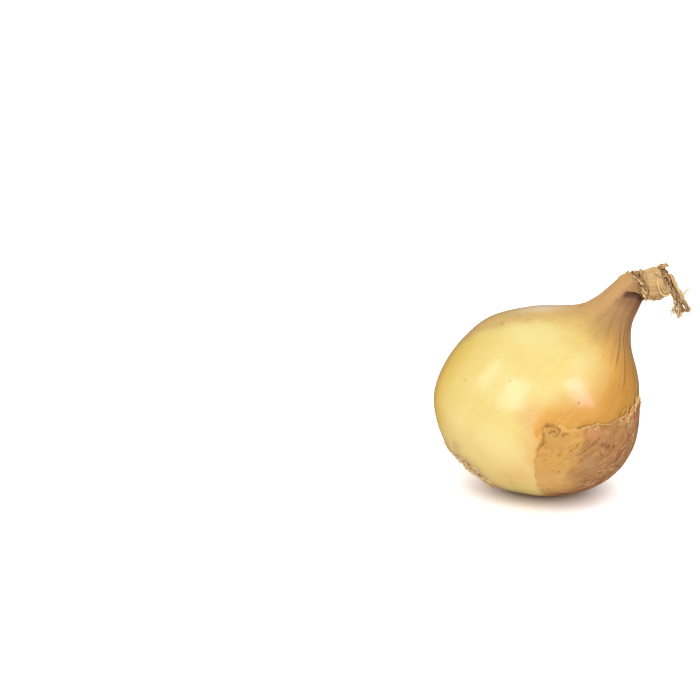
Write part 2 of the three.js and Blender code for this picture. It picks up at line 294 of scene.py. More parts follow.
def tube_faces(rows, columns, start_cap=True, end_cap=True):
    """Faces of a tube of rings, closed at either end."""
    faces = grid_faces(rows, columns).tolist()
    if start_cap:
        faces.append(list(range(columns))[::-1])
    if end_cap:
        faces.append([(rows - 1) * columns + column for column in range(columns)])
    return faces


def sheet_faces(rows, columns):
    """Faces of a closed thin sheet, whose upper points are stored first and then its lower ones."""
    count = rows * columns
    sheet = grid_faces(rows, columns, wrap=False)
    border = list(range(columns))
    border += [row * columns + columns - 1 for row in range(1, rows)]
    border += [(rows - 1) * columns + column for column in range(columns - 2, -1, -1)]
    border += [row * columns for row in range(rows - 2, 0, -1)]
    edge = [[b, a, a + count, b + count] for a, b in zip(border, border[1:] + border[:1])]
    return sheet.tolist() + (sheet[:, ::-1] + count).tolist() + edge


class Heap:
    """Loose solids that are gathered into one mesh."""

    def __init__(self):
        self.points = []
        self.faces = []
        self.tones = []
        self.count = 0

    def add(self, points, faces, tone):
        self.points.append(points)
        self.faces += [[int(i) + self.count for i in face] for face in faces]
        self.tones.append(np.full(len(points), float(tone)))
        self.count += len(points)

    def make(self, name, material):
        tones = np.concatenate(self.tones)
        return add_mesh(name, np.vstack(self.points), self.faces, material, {"tone": tones})


def frames_along(line):
    """A direction and two steady side directions for each point of a line."""
    forward = np.gradient(line, axis=0)
    forward /= np.linalg.norm(forward, axis=1, keepdims=True) + 1e-12
    side = np.cross(forward[0], [0.3, 0.5, 0.81])
    sides = []
    for direction in forward:
        side = side - direction * (side @ direction)
        side = side / (np.linalg.norm(side) + 1e-12)
        sides.append(side)
    sides = np.array(sides)
    return forward, sides, np.cross(forward, sides)


def strand(heap, points, radius, tone, taper=0.5):
    """A thin root or fibre through a few points."""
    sides = 5
    line = smooth_line(points, 5)
    _, across, through = frames_along(line)
    t = np.linspace(0, 1, len(line))
    angles = TAU * np.arange(sides) / sides
    thick = radius * (1 - taper * t)[:, None, None]
    rings = line[:, None] + thick * (
        np.cos(angles)[None, :, None] * across[:, None] + np.sin(angles)[None, :, None] * through[:, None]
    )
    heap.add(rings.reshape(-1, 3), tube_faces(len(line), sides), tone)


def ribbon(heap, points, width, tone, seed, cup=0.25, thickness=0.14, twist=0.0, start_twist=0.0, crumple=0.1,
           per_segment=6, across_count=6, taper=0.4):
    """A torn strip of dry skin through a few points, cupped across and crumpled along."""
    line = smooth_line(points, per_segment)
    forward, across, through = frames_along(line)
    t = np.linspace(0, 1, len(line))
    angle = start_twist + twist * t + crumple * 2.0 * waves(t * 9, seed + 1, 1.0, 3)
    side = across * np.cos(angle)[:, None] + through * np.sin(angle)[:, None]
    normal = np.cross(forward, side)
    v = np.linspace(-1, 1, across_count)
    wide = width * (1 - taper * t) * (1 + 0.22 * waves(t * 14, seed + 2, 1.0, 3))
    wide[-1] *= 0.35
    bumps = waves(t[:, None] * 16 + v[None, :] * 2.6, seed + 3, 1.0, 3)
    lift = cup * width * (v ** 2)[None, :] + crumple * width * bumps
    middle = line[:, None] + side[:, None] * (wide[:, None] * v[None, :] / 2)[..., None]
    middle = middle + normal[:, None] * lift[..., None]
    upper = middle + normal[:, None] * thickness / 2
    lower = middle - normal[:, None] * thickness / 2
    body = np.vstack([upper.reshape(-1, 3), lower.reshape(-1, 3)])
    heap.add(body, sheet_faces(len(line), across_count), tone)


# Materials

# The light is strong enough for a surface to look brighter than its own colour, by this much
OVERLIT = 1.52


def srgb(red, green, blue):
    """A colour given as it looks on screen, from 0 to 255, as the shader's linear values."""
    def linear(value):
        value /= 255
        return (value / 12.92 if value <= 0.04045 else ((value + 0.055) / 1.055) ** 2.4) / OVERLIT
    return (linear(red), linear(green), linear(blue), 1.0)


class Graph:
    """A short way to write a material's nodes."""

    def __init__(self, name):
        self.material = bpy.data.materials.new(name)
        self.material.use_nodes = True
        self.tree = self.material.node_tree
        self.shader = self.tree.nodes["Principled BSDF"]

    def feed(self, socket, value):
        if isinstance(value, bpy.types.NodeSocket):
            self.tree.links.new(value, socket)
        else:
            socket.default_value = value

    def node(self, kind, inputs, output=0, **settings):
        made = self.tree.nodes.new(kind)
        for key, value in settings.items():
            setattr(made, key, value)
        for key, value in inputs.items():
            self.feed(made.inputs[key], value)
        return made.outputs[output]

    def math(self, operation, *values):
        return self.node("ShaderNodeMath", dict(enumerate(values)), operation=operation)

    def add(self, a, b):
        return self.math("ADD", a, b)

    def times(self, a, b):
        return self.math("MULTIPLY", a, b)

    def swing(self, noise, amount):
        """A noise's swing about its middle, scaled."""
        return self.times(self.add(noise, -0.5), amount)

    def scaled(self, vector, factors):
        return self.node("ShaderNodeVectorMath", {0: vector, 1: factors}, operation="MULTIPLY")

    def length(self, vector):
        return self.node("ShaderNodeVectorMath", {0: vector}, output=1, operation="LENGTH")

    def step(self, value, low, high, to_low=0.0, to_high=1.0):
        inputs = {0: value, 1: low, 2: high, 3: to_low, 4: to_high}
        return self.node("ShaderNodeMapRange", inputs, interpolation_type="SMOOTHSTEP", clamp=True)

    def mix(self, amount, low, high):
        inputs = {0: amount, 6: low, 7: high}
        return self.node("ShaderNodeMix", inputs, output=2, data_type="RGBA", clamp_factor=True)

    def noise(self, vector, scale, detail=3.0, roughness=0.55, distortion=0.0):
        inputs = {"Vector": vector, "Scale": scale, "Detail": detail, "Roughness": roughness,
                  "Distortion": distortion}
        return self.node("ShaderNodeTexNoise", inputs)

    def spots(self, vector, scale):
        """The distance from the nearest of some scattered points."""
        return self.node("ShaderNodeTexVoronoi", {"Vector": vector, "Scale": scale})

    def value(self, name):
        return self.node("ShaderNodeAttribute", {}, output=2, attribute_name=name)

    def place(self, name):
        return self.node("ShaderNodeAttribute", {}, output=1, attribute_name=name)

    def bump(self, height, strength, distance, normal=None):
        inputs = {"Height": height, "Strength": strength, "Distance": distance}
        if normal is not None:
            inputs["Normal"] = normal
        return self.node("ShaderNodeBump", inputs)

    def finish(self, **inputs):
        for key, value in inputs.items():
            self.feed(self.shader.inputs[key.replace("_", " ")], value)
        return self.material


def make_skin_material():
    """The golden skin, its pale window, the tan neck and, where dry is 1, the withered sheath."""
    g = Graph("golden_skin_look")
    grown = g.place("grown")
    vein = g.place("vein")
    height = g.node("ShaderNodeSeparateXYZ", {0: grown}, output=2)

    slow = g.noise(grown, 0.045, 3.0)
    blotch = g.noise(grown, 0.16, 4.0, 0.6)
    streak = g.noise(g.scaled(vein, (9.0, 9.0, 5.0)), 1.0, 4.0, 0.6)
    veins = g.noise(g.scaled(vein, (26.0, 26.0, 5.0)), 1.0, 3.0, 0.6)
    fibres = g.noise(g.scaled(vein, (80.0, 80.0, 9.0)), 1.0, 3.0, 0.65)
    grain = g.noise(grown, 2.6, 3.0, 0.6)
    mottle = g.noise(grown, 0.9, 3.0, 0.6)

    # Pale window
    pale = g.mix(g.step(slow, 0.35, 0.65), srgb(241, 217, 133), srgb(246, 226, 150))
    pale = g.mix(g.step(streak, 0.45, 0.75, 0.0, 0.3), pale, srgb(249, 233, 168))
    pale = g.mix(g.step(veins, 0.5, 0.8, 0.0, 0.2), pale, srgb(232, 204, 120))
    low = g.step(height, -20.0, -30.0)
    pale = g.mix(g.times(low, 0.5), pale, srgb(234, 200, 128))
    warm = g.step(g.add(height, g.swing(blotch, 9.0)), 19.0, 33.0, 0.0, 0.8)
    pale = g.mix(warm, pale, srgb(232, 188, 106))

    beige = g.times(g.step(g.value("amber"), -13.0, -1.0), g.step(height, 6.0, -6.0))
    beige = g.math("MAXIMUM", g.times(beige, 0.85), g.value("beige"))
    pale = g.mix(beige, pale, srgb(236, 192, 122))
    pale = g.mix(g.value("gold"), pale, srgb(240, 202, 98))

    # Amber skin that the window opens in
    amber = g.mix(g.step(streak, 0.35, 0.7), srgb(228, 168, 80), srgb(240, 188, 102))
    amber = g.mix(g.value("ochre"), amber, srgb(198, 140, 58))
    amber = g.mix(g.step(veins, 0.5, 0.75, 0.0, 0.45), amber, srgb(214, 152, 68))
    wander = g.add(g.swing(blotch, 5.0), g.swing(streak, 5.0))
    edge = g.add(g.value("amber"), g.times(wander, g.value("amber_soft")))
    reach = g.add(0.9, g.times(g.value("amber_soft"), 9.0))
    amber_share = g.step(g.math("DIVIDE", edge, reach), -1.0, 1.0)
    colour = g.mix(amber_share, pale, amber)

    # The back's outer skin, which starts as a pinkish film
    outer = g.mix(g.step(streak, 0.3, 0.7), srgb(214, 146, 80), srgb(232, 174, 106))
    outer = g.mix(g.step(veins, 0.52, 0.78, 0.0, 0.7), outer, srgb(178, 108, 56))
    film = g.mix(g.step(blotch, 0.35, 0.65), srgb(228, 184, 116), srgb(218, 174, 112))
    film = g.mix(g.step(mottle, 0.52, 0.68, 0.0, 0.3), film, srgb(198, 166, 98))
    bloom = g.times(g.step(g.value("film"), 4.5, 11.0), g.step(height, 14.0, 27.0))
    film = g.mix(bloom, film, srgb(242, 214, 188))
    film = g.mix(g.step(height, 0.0, -9.0), film, srgb(236, 186, 98))
    film = g.mix(g.value("far_side"), film, srgb(226, 164, 92))
    back_edge = g.add(g.value("film"), g.swing(blotch, 7.0))
    film_share = g.step(back_edge, -4.5, 3.5, 0.0, 0.74)
    colour = g.mix(film_share, colour, film)
    colour = g.mix(g.step(back_edge, 15.0, 27.0), colour, outer)

    # Neck
    tan = g.mix(g.step(streak, 0.3, 0.7), srgb(172, 128, 66), srgb(190, 146, 80))
    tan = g.mix(g.step(fibres, 0.5, 0.75, 0.0, 0.4), tan, srgb(166, 120, 70))
    lit = g.mix(g.step(streak, 0.3, 0.7), srgb(206, 158, 96), srgb(222, 176, 112))
    tan = g.mix(g.value("lit_side"), tan, lit)
    neck_share = g.step(g.add(height, g.swing(streak, 14.0)), 26.0, 42.0)
    colour = g.mix(neck_share, colour, tan)
    # Real greyish smudges on the neck, and a painted reflection along the right rim by the scrap
    smudge_and_reflection = g.times(g.value("smudge_and_reflection"), g.step(g.add(blotch, veins), 0.8, 1.15, 0.3, 1.1))
    colour = g.mix(smudge_and_reflection, colour, srgb(164, 136, 90))
    colour = g.mix(g.value("shade_side"), colour, srgb(142, 92, 52))

    # Flecks, scars and root-end dirt
    cell = g.spots(grown, 0.3)
    rare = g.step(g.noise(grown, 0.11, 2.0), 0.52, 0.62)
    fleck = g.times(g.step(cell, 0.22, 0.08), g.times(rare, g.step(back_edge, 1.0, 8.0)))
    colour = g.mix(g.times(fleck, 0.75), colour, srgb(120, 66, 34))
    colour = g.mix(g.value("marks"), colour, srgb(132, 84, 44))
    dirt = g.times(g.step(height, -31.5, -34.3), g.step(veins, 0.4, 0.65, 0.1, 0.5))
    colour = g.mix(dirt, colour, srgb(196, 152, 98))
    colour = g.mix(g.value("olive"), colour, srgb(178, 144, 82))

    # Withered sheath
    dry = g.value("dry")
    sheath = g.mix(g.step(streak, 0.35, 0.68), srgb(232, 194, 134), srgb(214, 170, 110))
    sheath = g.mix(g.step(fibres, 0.52, 0.7, 0.0, 0.7), sheath, srgb(168, 120, 72))
    colour = g.mix(g.step(g.add(dry, g.swing(streak, 0.35)), 0.35, 0.6), colour, sheath)
    knot = g.mix(g.step(mottle, 0.42, 0.58), srgb(226, 174, 118), srgb(128, 76, 40))
    colour = g.mix(g.value("knot"), colour, knot)
    # Painted shade: dark brown in the creases, under the torn lips, in the hollow under the fold and inside
    # the mouth.
    colour = g.mix(g.value("crease"), colour, srgb(84, 40, 10))

    colour = g.mix(g.step(grain, 0.3, 0.75, 0.0, 0.1), colour, srgb(120, 80, 40))

    dullness = g.math("MAXIMUM", g.step(dry, 0.0, 0.6), g.times(neck_share, 0.6))
    dullness = g.math("MAXIMUM", dullness, g.step(g.value("crease"), 0.45, 0.9))
    roughness = g.add(g.times(dullness, 0.6), g.step(blotch, 0.3, 0.7, 0.17, 0.24))
    ridges = g.add(g.times(veins, 0.5), g.times(fibres, g.add(0.12, g.times(dullness, 0.7))))
    lumps = g.bump(slow, 0.35, 0.0012)
    normal = g.bump(ridges, g.add(0.22, g.times(dullness, 0.5)), 0.00022, lumps)
    return g.finish(
        Base_Color=colour,
        Roughness=roughness,
        Normal=normal,
        Subsurface_Weight=0.18,
        Subsurface_Radius=(1.0, 0.55, 0.2),
        Subsurface_Scale=0.0022,
        Specular_IOR_Level=0.32,
        Sheen_Weight=0.08,
        Sheen_Roughness=0.35,
        Sheen_Tint=(1.0, 0.93, 0.84, 1.0),
    )


def make_scrap_material():
    """The brown papery outer skin: meridian streaks, spots, and paler torn edges."""
    g = Graph("brown_papery_skin_look")
    grown = g.place("grown")
    vein = g.place("vein")
    blotch = g.noise(grown, 0.17, 4.0, 0.6)
    mottle = g.noise(grown, 0.6, 4.0, 0.65)
    streak = g.noise(g.scaled(vein, (11.0, 11.0, 9.0)), 1.0, 4.0, 0.6, 0.6)
    lines = g.noise(g.scaled(vein, (42.0, 42.0, 12.0)), 1.0, 4.0, 0.65, 0.5)
    fibres = g.noise(g.scaled(vein, (110.0, 110.0, 14.0)), 1.0, 2.0, 0.6)

    ochre = g.mix(g.step(blotch, 0.3, 0.7), srgb(222, 168, 80), srgb(208, 154, 72))
    brown = g.mix(g.step(streak, 0.3, 0.7), srgb(187, 132, 72), srgb(166, 112, 58))
    brown = g.mix(g.step(mottle, 0.45, 0.75, 0.0, 0.5), brown, srgb(202, 150, 92))
    browning = g.add(g.value("browning"), g.swing(blotch, 1.1))
    colour = g.mix(g.step(browning, 0.3, 0.7), ochre, brown)
    patches = g.noise(grown, 0.3, 2.0, 0.5)
    colour = g.mix(g.step(patches, 0.52, 0.62, 0.0, 0.4), colour, srgb(206, 158, 94))
    colour = g.mix(g.step(patches, 0.44, 0.36, 0.0, 0.35), colour, srgb(192, 132, 84))
    colour = g.mix(g.value("belly"), colour, srgb(228, 176, 104))
    colour = g.mix(g.value("ash"), colour, srgb(186, 148, 100))
    colour = g.mix(g.value("rosy"), colour, srgb(220, 148, 96))
    dark = g.times(g.step(lines, 0.54, 0.7), g.step(streak, 0.35, 0.62))
    colour = g.mix(g.times(dark, g.step(browning, 0.2, 0.8, 0.1, 0.45)), colour, srgb(128, 82, 46))
    colour = g.mix(g.step(fibres, 0.5, 0.8, 0.0, 0.2), colour, srgb(218, 174, 120))
    cell = g.spots(grown, 0.42)
    rare = g.step(g.noise(grown, 0.2, 2.0), 0.5, 0.6)
    colour = g.mix(g.times(g.step(cell, 0.3, 0.12, 0.0, 0.6), rare), colour, srgb(120, 70, 40))
    flecks = g.noise(g.scaled(vein, (36.0, 36.0, 34.0)), 1.0, 3.0, 0.65, 0.6)
    rough_patch = g.step(g.add(g.value("rough"), g.swing(blotch, 1.2)), 0.25, 0.75)
    colour = g.mix(g.times(rough_patch, 0.45), colour, srgb(158, 104, 64))
    colour = g.mix(g.times(g.step(flecks, 0.53, 0.6, 0.0, 0.7), rough_patch), colour, srgb(222, 178, 128))
    colour = g.mix(g.times(g.step(flecks, 0.44, 0.38, 0.0, 0.65), rough_patch), colour, srgb(112, 64, 50))
    colour = g.mix(g.value("marks"), colour, srgb(136, 78, 50))
    colour = g.mix(g.value("merge"), colour, srgb(234, 178, 92))
    colour = g.mix(g.value("pale_edge"), colour, srgb(234, 192, 134))
    height = g.add(g.times(lines, 0.8), g.add(g.times(mottle, 0.7), g.times(fibres, 0.3)))
    return g.finish(
        Base_Color=colour,
        Roughness=g.step(blotch, 0.3, 0.7, 0.46, 0.62),
        Normal=g.bump(height, 0.45, 0.00035),
        Subsurface_Weight=0.1,
        Subsurface_Radius=(1.0, 0.5, 0.2),
        Subsurface_Scale=0.0012,
        Specular_IOR_Level=0.22,
    )


def make_dry_material(name, light, middle, dark, roughness):
    """Dry shreds, wisps or roots, darker at random and along their length."""
    g = Graph(name)
    grown = g.place("grown")
    mottle = g.noise(grown, 0.9, 4.0, 0.65)
    fine = g.noise(grown, 4.0, 3.0, 0.6)
    tone = g.value("tone")
    colour = g.mix(g.step(g.add(tone, g.swing(mottle, 0.8)), 0.15, 0.75), light, middle)
    colour = g.mix(g.step(g.add(tone, g.swing(fine, 0.9)), 0.7, 1.15), colour, dark)
    return g.finish(
        Base_Color=colour,
        Roughness=roughness,
        Normal=g.bump(fine, 0.5, 0.0001),
        Specular_IOR_Level=0.2,
        Subsurface_Weight=0.08,
        Subsurface_Radius=(1.0, 0.6, 0.3),
        Subsurface_Scale=0.0008,
    )


skin_look = make_skin_material()
scrap_look = make_scrap_material()
shred_look = make_dry_material(
    "dry_shreds_look", srgb(248, 212, 156), srgb(202, 154, 96), srgb(106, 64, 30), 0.72)
wisp_look = make_dry_material(
    "torn_wisps_look", srgb(240, 192, 124), srgb(204, 144, 76), srgb(150, 94, 46), 0.6)
root_look = make_dry_material(
    "dry_roots_look", srgb(255, 225, 168), srgb(224, 172, 112), srgb(118, 62, 30), 0.8)

# Bulb

BULB_COLUMNS = 320
# Rings of the bulb: first and last place along the outline, and how many
BULB_SPANS = [(0.004, 0.2, 96), (0.2, 0.72, 110), (0.72, 1.0, 80)]
# The belly is flat where it rests, this far above the surface in metres.
FLAT_HEIGHT = 0.00002
# The source's pleats are deeper than they look, to show without any colour.
PLEATS_SMOOTHED = 0.8
PUCKERS_SMOOTHED = 0.95
WINDOW_EDGE = [
    (-34, 40), (-30, 24), (-25.5, 4), (-22, -36), (-18, -61), (-12.7, -73), (-7, -85), (-2, -88), (4.6, -85),
    (15.9, -77), (23.9, -76), (31, -84), (40, -100),
]
WINDOW_SOFTNESS = [(-34, 0.05), (-6, 0.06), (0, 0.3), (6, 0.9), (40, 1.0)]
# The back's outer skin runs from this longitude round to the film's edge.
OUTER_SKIN_EAST = 98
FILM_EDGE = [
    (-34, -171), (-24, -158), (-13, -161), (-5, -166), (3, -158), (12, -146), (20, -136), (28, -128),
    (42, -130),
]
# Sharp creases beside the neck: longitude, lowest and highest height, depth, width in degrees
CREASES = [
    (-69, 22, 36, 0.08, 0.8),
    (-62, 24, 38, 0.26, 0.8),
    (-56, 16, 27, 0.06, 0.7),
    (-51, 20, 40, 0.24, 0.9),
    (-44, 25, 42, 0.09, 1.1),
    (-34, 24, 42, 0.12, 2.0),
    (-84, 30, 42, 0.08, 1.8),
    (-20, 26, 42, 0.16, 2.2),
    (14, 24, 42, 0.25, 2.4),
    (60, 24, 42, 0.22, 2.2),
    (118, 26, 42, 0.20, 2.4),
]
# Specks and small scars on the skin: longitude, height, radius, strength
SPECKS = [
    (-134.3, -11.2, 0.42, 0.75), (-111.7, -1.2, 0.38, 0.7), (-75.6, 8.9, 0.55, 0.9),
    (-139.1, 12.8, 0.4, 0.45), (-141, 19.4, 0.4, 0.45), (-146, 16.5, 0.3, 0.35), (-98, 18, 0.25, 0.25),
    (-101.9, 45.6, 0.4, 0.6), (-103.8, 44.9, 0.35, 0.5),
]
# Soft olive smears: longitude, height, half width in degrees, half height, strength
SMEARS = [
    (-84, -32.3, 24, 1.5, 0.3), (-118, -31.0, 8, 1.4, 0.35), (-62, -26.5, 4, 0.8, 0.2),
    (-50, -27.5, 3, 0.6, 0.25), (-147, 12.1, 1.7, 0.35, 0.8), (-150.5, 18.5, 1.4, 0.3, 0.7),
    (-168.5, 4.5, 1.2, 0.5, 0.5),
]
# Greyish smudges on the neck, written the same way; the last one, by the scrap at the right rim, is a painted
# reflection
SMUDGES_AND_REFLECTION = [
    (-107, 37.3, 7, 4, 0.5), (-97, 33, 8, 3, 0.45), (-88, 33.5, 8, 2.6, 0.55), (-84, 38.5, 6, 3.0, 0.35),
    (-108, 33, 6, 1.4, 0.25), (-18, 24, 10, 8, 0.8),
]
# Height of the sheath's first ring step, which counts the neck's heights in sheath rings
RING_HEIGHT = 2.7


def crease_depth(angle, height):
    longitude = longitude_of(angle)
    total = np.zeros(np.broadcast(longitude, height).shape)
    for centre, low, high, depth, width in CREASES:
        wobble = 1.2 * np.sin(height * 0.35 + centre)
        share = band(height, low, low + 7, high - 2, high + 5)
        total = total + depth * share * bump_at(longitude, centre + wobble, width)
    return total


def bulb_fine(angle, height):
    """Low relief that the source leaves out: creases by the neck and slight unevenness all over."""
    uneven = 0.10 * np.sin(3 * angle + 0.09 * height + 1.0) + 0.06 * np.sin(7 * angle - 0.13 * height)
    fine = 0.025 * np.sin(41 * angle + 0.9 * np.sin(5 * angle)) * smoothstep(height, 18, 36)
    calm = 1 - smoothstep(height, 40, 48)
    softer = -np.where(height > 0, PLEATS_SMOOTHED, PUCKERS_SMOOTHED) * relief_at(angle, height)
    uneven = (uneven * calm - 0.16) * smoothstep(height, -34, -26) * calm
    return uneven + fine + softer - crease_depth(angle, height)


def dressed_skin(angle, place, lift=0.0):
    """Points of the skin with its low relief, lifted along the outline's outward normal."""
    return skin_point(angle, place, lift, fine=bulb_fine)


def under_fold(longitude, ring):
    """The shaded hollow under the fold, from 0 to 1. It lies below the fold's lip, which climbs the front."""
    lip = 0.1 + 1.1 * smoothstep(longitude, -104, -50)
    shade = 0.42 * smoothstep(ring, lip - 3.2, lip - 1.2) + 0.58 * smoothstep(ring, lip - 1.4, lip - 0.5)
    shade = shade * (1 - smoothstep(ring, lip - 0.05, lip + 0.08))
    return shade * smoothstep(longitude, -104, -92) * (1 - smoothstep(longitude, -22, 4))


def soft_areas(longitude, height, areas, wander=0.0):
    """How much of any of some soft areas there is at a place. Their middles can wander, in half widths."""
    total = np.zeros_like(longitude)
    for centre, level, wide, tall, strength in areas:
        share = bump_at(longitude, centre + wide * wander, wide) * bump_at(height, level, tall)
        total = np.maximum(total, strength * share)
    return total


def round_spots(longitude, height, spots, full, gone, unevenness=0.0):
    """How much of any of some round spots there is: full and gone at these shares of a spot's radius."""
    radius = radius_at(height)
    total = np.zeros_like(longitude)
    for centre, level, size, strength in spots:
        away = np.hypot(np.radians(longitude - centre) * radius, height - level) * (1 + unevenness)
        total = np.maximum(total, strength * (1 - smoothstep(away, full * size, gone * size)))
    return total


def vein_place(angle, place):
    """A place in the space that the streaks of the skins run lengthwise in."""
    return np.stack([np.cos(angle), np.sin(angle), place], -1)


def film_distance(longitude, height, radius):
    """How far a place is inside the back's outer skin, in millimetres."""
    film = np.radians(along(FILM_EDGE, height) - longitude) * radius
    # Round the far side the same outer skin ends again, against the amber skin.
    around = film + TAU * radius
    from_east = np.radians(longitude - OUTER_SKIN_EAST) * radius
    return np.where(longitude > 20, np.minimum(around, from_east), film)


def skin_values(angle, height, place):
    """The numbers that the skin's material reads at each point."""
    longitude = longitude_of(angle)
    radius = radius_at(height)
    # Creases get painted shade, darker on the near side than round the far one, and so does the hollow under
    # the fold.
    groove = crease_depth(angle, height) * 2.4 * (1 - 0.6 * smoothstep(longitude, -26, 0))
    hollow = 0.9 * under_fold(longitude, (height - NECK_TOP) / RING_HEIGHT)
    past_east = 1 - smoothstep(longitude, 165, 179.9)
    return dict(
        vein=vein_place(angle, place),
        amber=np.radians(longitude - along(WINDOW_EDGE, height)) * radius,
        amber_soft=along(WINDOW_SOFTNESS, height),
        ochre=0.9 * band(longitude, -84, -36, 40, 90) * smoothstep(height, -25, 5),
        gold=0.9 * smoothstep(-longitude, 120, 160) * band(height, -34, -28, -6, 12),
        olive=soft_areas(longitude, height, SMEARS),
        beige=0.75 * bump_at(longitude, -60, 15) * bump_at(height, -23, 5),
        lit_side=0.85 * band(-longitude, 88, 118, 165, 179.9),
        film=film_distance(longitude, height, radius),
        far_side=smoothstep(longitude, 0, 60) * past_east,
        marks=round_spots(longitude, height, SPECKS, 0.35, 1.3),
        smudge_and_reflection=soft_areas(longitude, height, SMUDGES_AND_REFLECTION),
        shade_side=0.7 * band(longitude, -95, -35, 50, 100) * smoothstep(height, 33, 47),
        crease=np.clip(groove + hollow, 0, 0.9),
        dry=np.zeros_like(longitude),
        knot=np.zeros_like(longitude),
    )


def make_bulb():
    places = [np.linspace(*span, endpoint=span is BULB_SPANS[-1]) for span in BULB_SPANS]
    places = np.concatenate(places)
    angles = TAU * np.arange(BULB_COLUMNS) / BULB_COLUMNS
    place, angle = (v.ravel() for v in np.meshgrid(places, angles, indexing="ij"))
    points = dressed_skin(angle, place)
    _, _, height = line_at(place, LINE)
    values = skin_values(angle, height, place)
    laid = to_row(points)
    laid[:, 2] = np.maximum(laid[:, 2], FLAT_HEIGHT)
    points = (laid * 1000 + REST_SPOT) @ LYING
    faces = tube_faces(len(places), BULB_COLUMNS, end_cap=False)
    bulb = add_mesh("bulb_in_golden_skin", points, faces, skin_look, values)
    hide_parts("bulb")
    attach(bulb, "root")


make_bulb()

# Withered top

SHEATH_COLUMNS = 320
SHEATH_STEPS = 22
# Notches and tongues of the torn rim: round angle in degrees, width in degrees, how far it stands out
RIM_TONGUES = [
    (172, 12, 0.7), (148, 10, 1.3), (232, 34, -3.0), (290, 14, 0.5), (312, 14, 1.0), (345, 20, 0.9),
    (20, 15, 1.2), (60, 22, 1.2), (90, 26, 1.6), (118, 12, 1.0),
]
# Torn lips of the outer layer, which the paler sheath comes out of: ring, height, how far it runs back
LIPS = [(2.1, 0.60, 0.45), (2.55, 0.75, 0.40), (2.9, 0.60, 0.35), (3.25, 0.35, 0.3)]
# The inside wall of the mouth, sunk towards the fold: share of the rim's width, and how many rings back
INSIDE_WALL = [(0.94, 0), (0.9, 3), (0.86, 8), (0.8, 16), (0.66, 26), (0.4, 34), (0.08, 38)]


def lip_ring(round_, number):
    """Where a torn lip runs: it lies further along the sheath at its lower side."""
    wander = 0.34 * waves(round_, 61 + number, 2, 5)
    return LIPS[number][0] + 0.15 * (0.5 + 0.5 * np.cos(round_)) + wander


def lip_relief(round_, ring):
    """The stand of the torn lips in millimetres, and how much painted shade their undercut gets."""
    stand = np.zeros(np.broadcast(round_, ring).shape)
    dark = np.zeros_like(stand)
    for number, (_, tall, back) in enumerate(LIPS):
        strong = np.clip(0.55 + 1.1 * waves(round_, 71 + number, 3, 4), 0, 1)
        beyond = ring - lip_ring(round_, number)
        crest = band(beyond, -back, -0.04, -0.03, 0.07)
        undercut = band(beyond, 0.0, 0.08, 0.1, 0.45)
        stand = stand + tall * strong * crest - 0.3 * strong * undercut
        dark = np.maximum(dark, strong * band(beyond, 0.0, 0.06, 0.1, 0.3))
    return stand, dark


def sheath_rings():
    """The sheath's points ring by ring, and the ring number and the angle round it of each."""
    rows = smooth_line(SHEATH, SHEATH_STEPS)
    round_ = TAU * np.arange(SHEATH_COLUMNS) / SHEATH_COLUMNS
    share = np.linspace(0, 1, len(rows))[:, None]
    height, shift, front, tilt, width, depth = (column[:, None] for column in rows.T)
    tilt = np.radians(tilt)
    ring = share * (len(SHEATH) - 1)
    crumple = 0.045 * smoothstep(ring, 0.2, 1.2)
    fold = 1 + crumple * np.cos(7 * round_ + 0.8 * ring) + crumple * np.sin(4 * round_ - 1.1 * ring)
    # Fine lengthwise wrinkles, deepest round the crease
    wrinkle = waves(round_, 5, 11, 4) * 0.6 + 0.4 * np.sin(29 * round_ + 1.5 * np.sin(3 * ring) + ring)
    near_crease = bump_at(ring, 2.4, 1.0)
    inner = 0.5 + 0.5 * np.cos(round_)
    fold = fold + wrinkle * (0.012 + 0.03 * near_crease * inner) * smoothstep(ring, 0.0, 1.0)
    fold = fold - 0.10 * bump_at(ring, 2.35, 0.55) * inner ** 2 + 0.04 * bump_at(ring, 3.9, 0.7) * inner ** 2
    # The upper side sinks towards the mouth, which flares a little.
    fold = fold - 0.22 * bump_at(np.degrees(round_), 180, 60) * smoothstep(ring, 4.2, 6.8)
    fold = fold * (1 + 0.07 * smoothstep(ring, 6.2, 7.0) * (1 + 0.8 * waves(round_, 9, 3, 3)))
    stand, _ = lip_relief(round_, ring)
    knot = waves(round_ + 0.9 * ring, 91, 5, 4) * waves(ring * 3.0 - 0.8 * round_, 92, 1.6, 4)
    stand = stand + 0.9 * knot * bump_at(ring, 2.6, 0.6)
    fold = fold + (stand - 0.8 * under_fold(longitude_of(round_), ring)) / depth
    pull = np.zeros_like(round_)
    for centre, wide, out in RIM_TONGUES:
        off = (np.degrees(round_) - centre + 180) % 360 - 180
        pull = pull + out * bump_at(off, 0, wide)
    pull = (pull - 0.5 + 0.3 * waves(round_, 12, 19, 3)) * smoothstep(ring, 5.6, 7.0) ** 1.5
    across = width * fold * np.cos(round_)
    points = np.stack([
        shift + pull * np.sin(tilt) + across * np.cos(tilt),
        -front + depth * fold * np.sin(round_),
        height + pull * np.cos(tilt) - across * np.sin(tilt),
    ], -1)
    # The first rings are the neck's own, pleats and all.
    neck = dressed_skin(round_, 1.0)
    slope = neck - dressed_skin(round_, 0.99)
    slope = slope / slope[:, 2:]
    neck = neck[None] + slope[None] * (height - NECK_TOP)[:, :, None]
    blend = smoothstep(ring, 0.0, 0.9)[..., None]
    return neck * (1 - blend) + points * blend, ring + 0 * round_, round_[None, :] + 0 * share


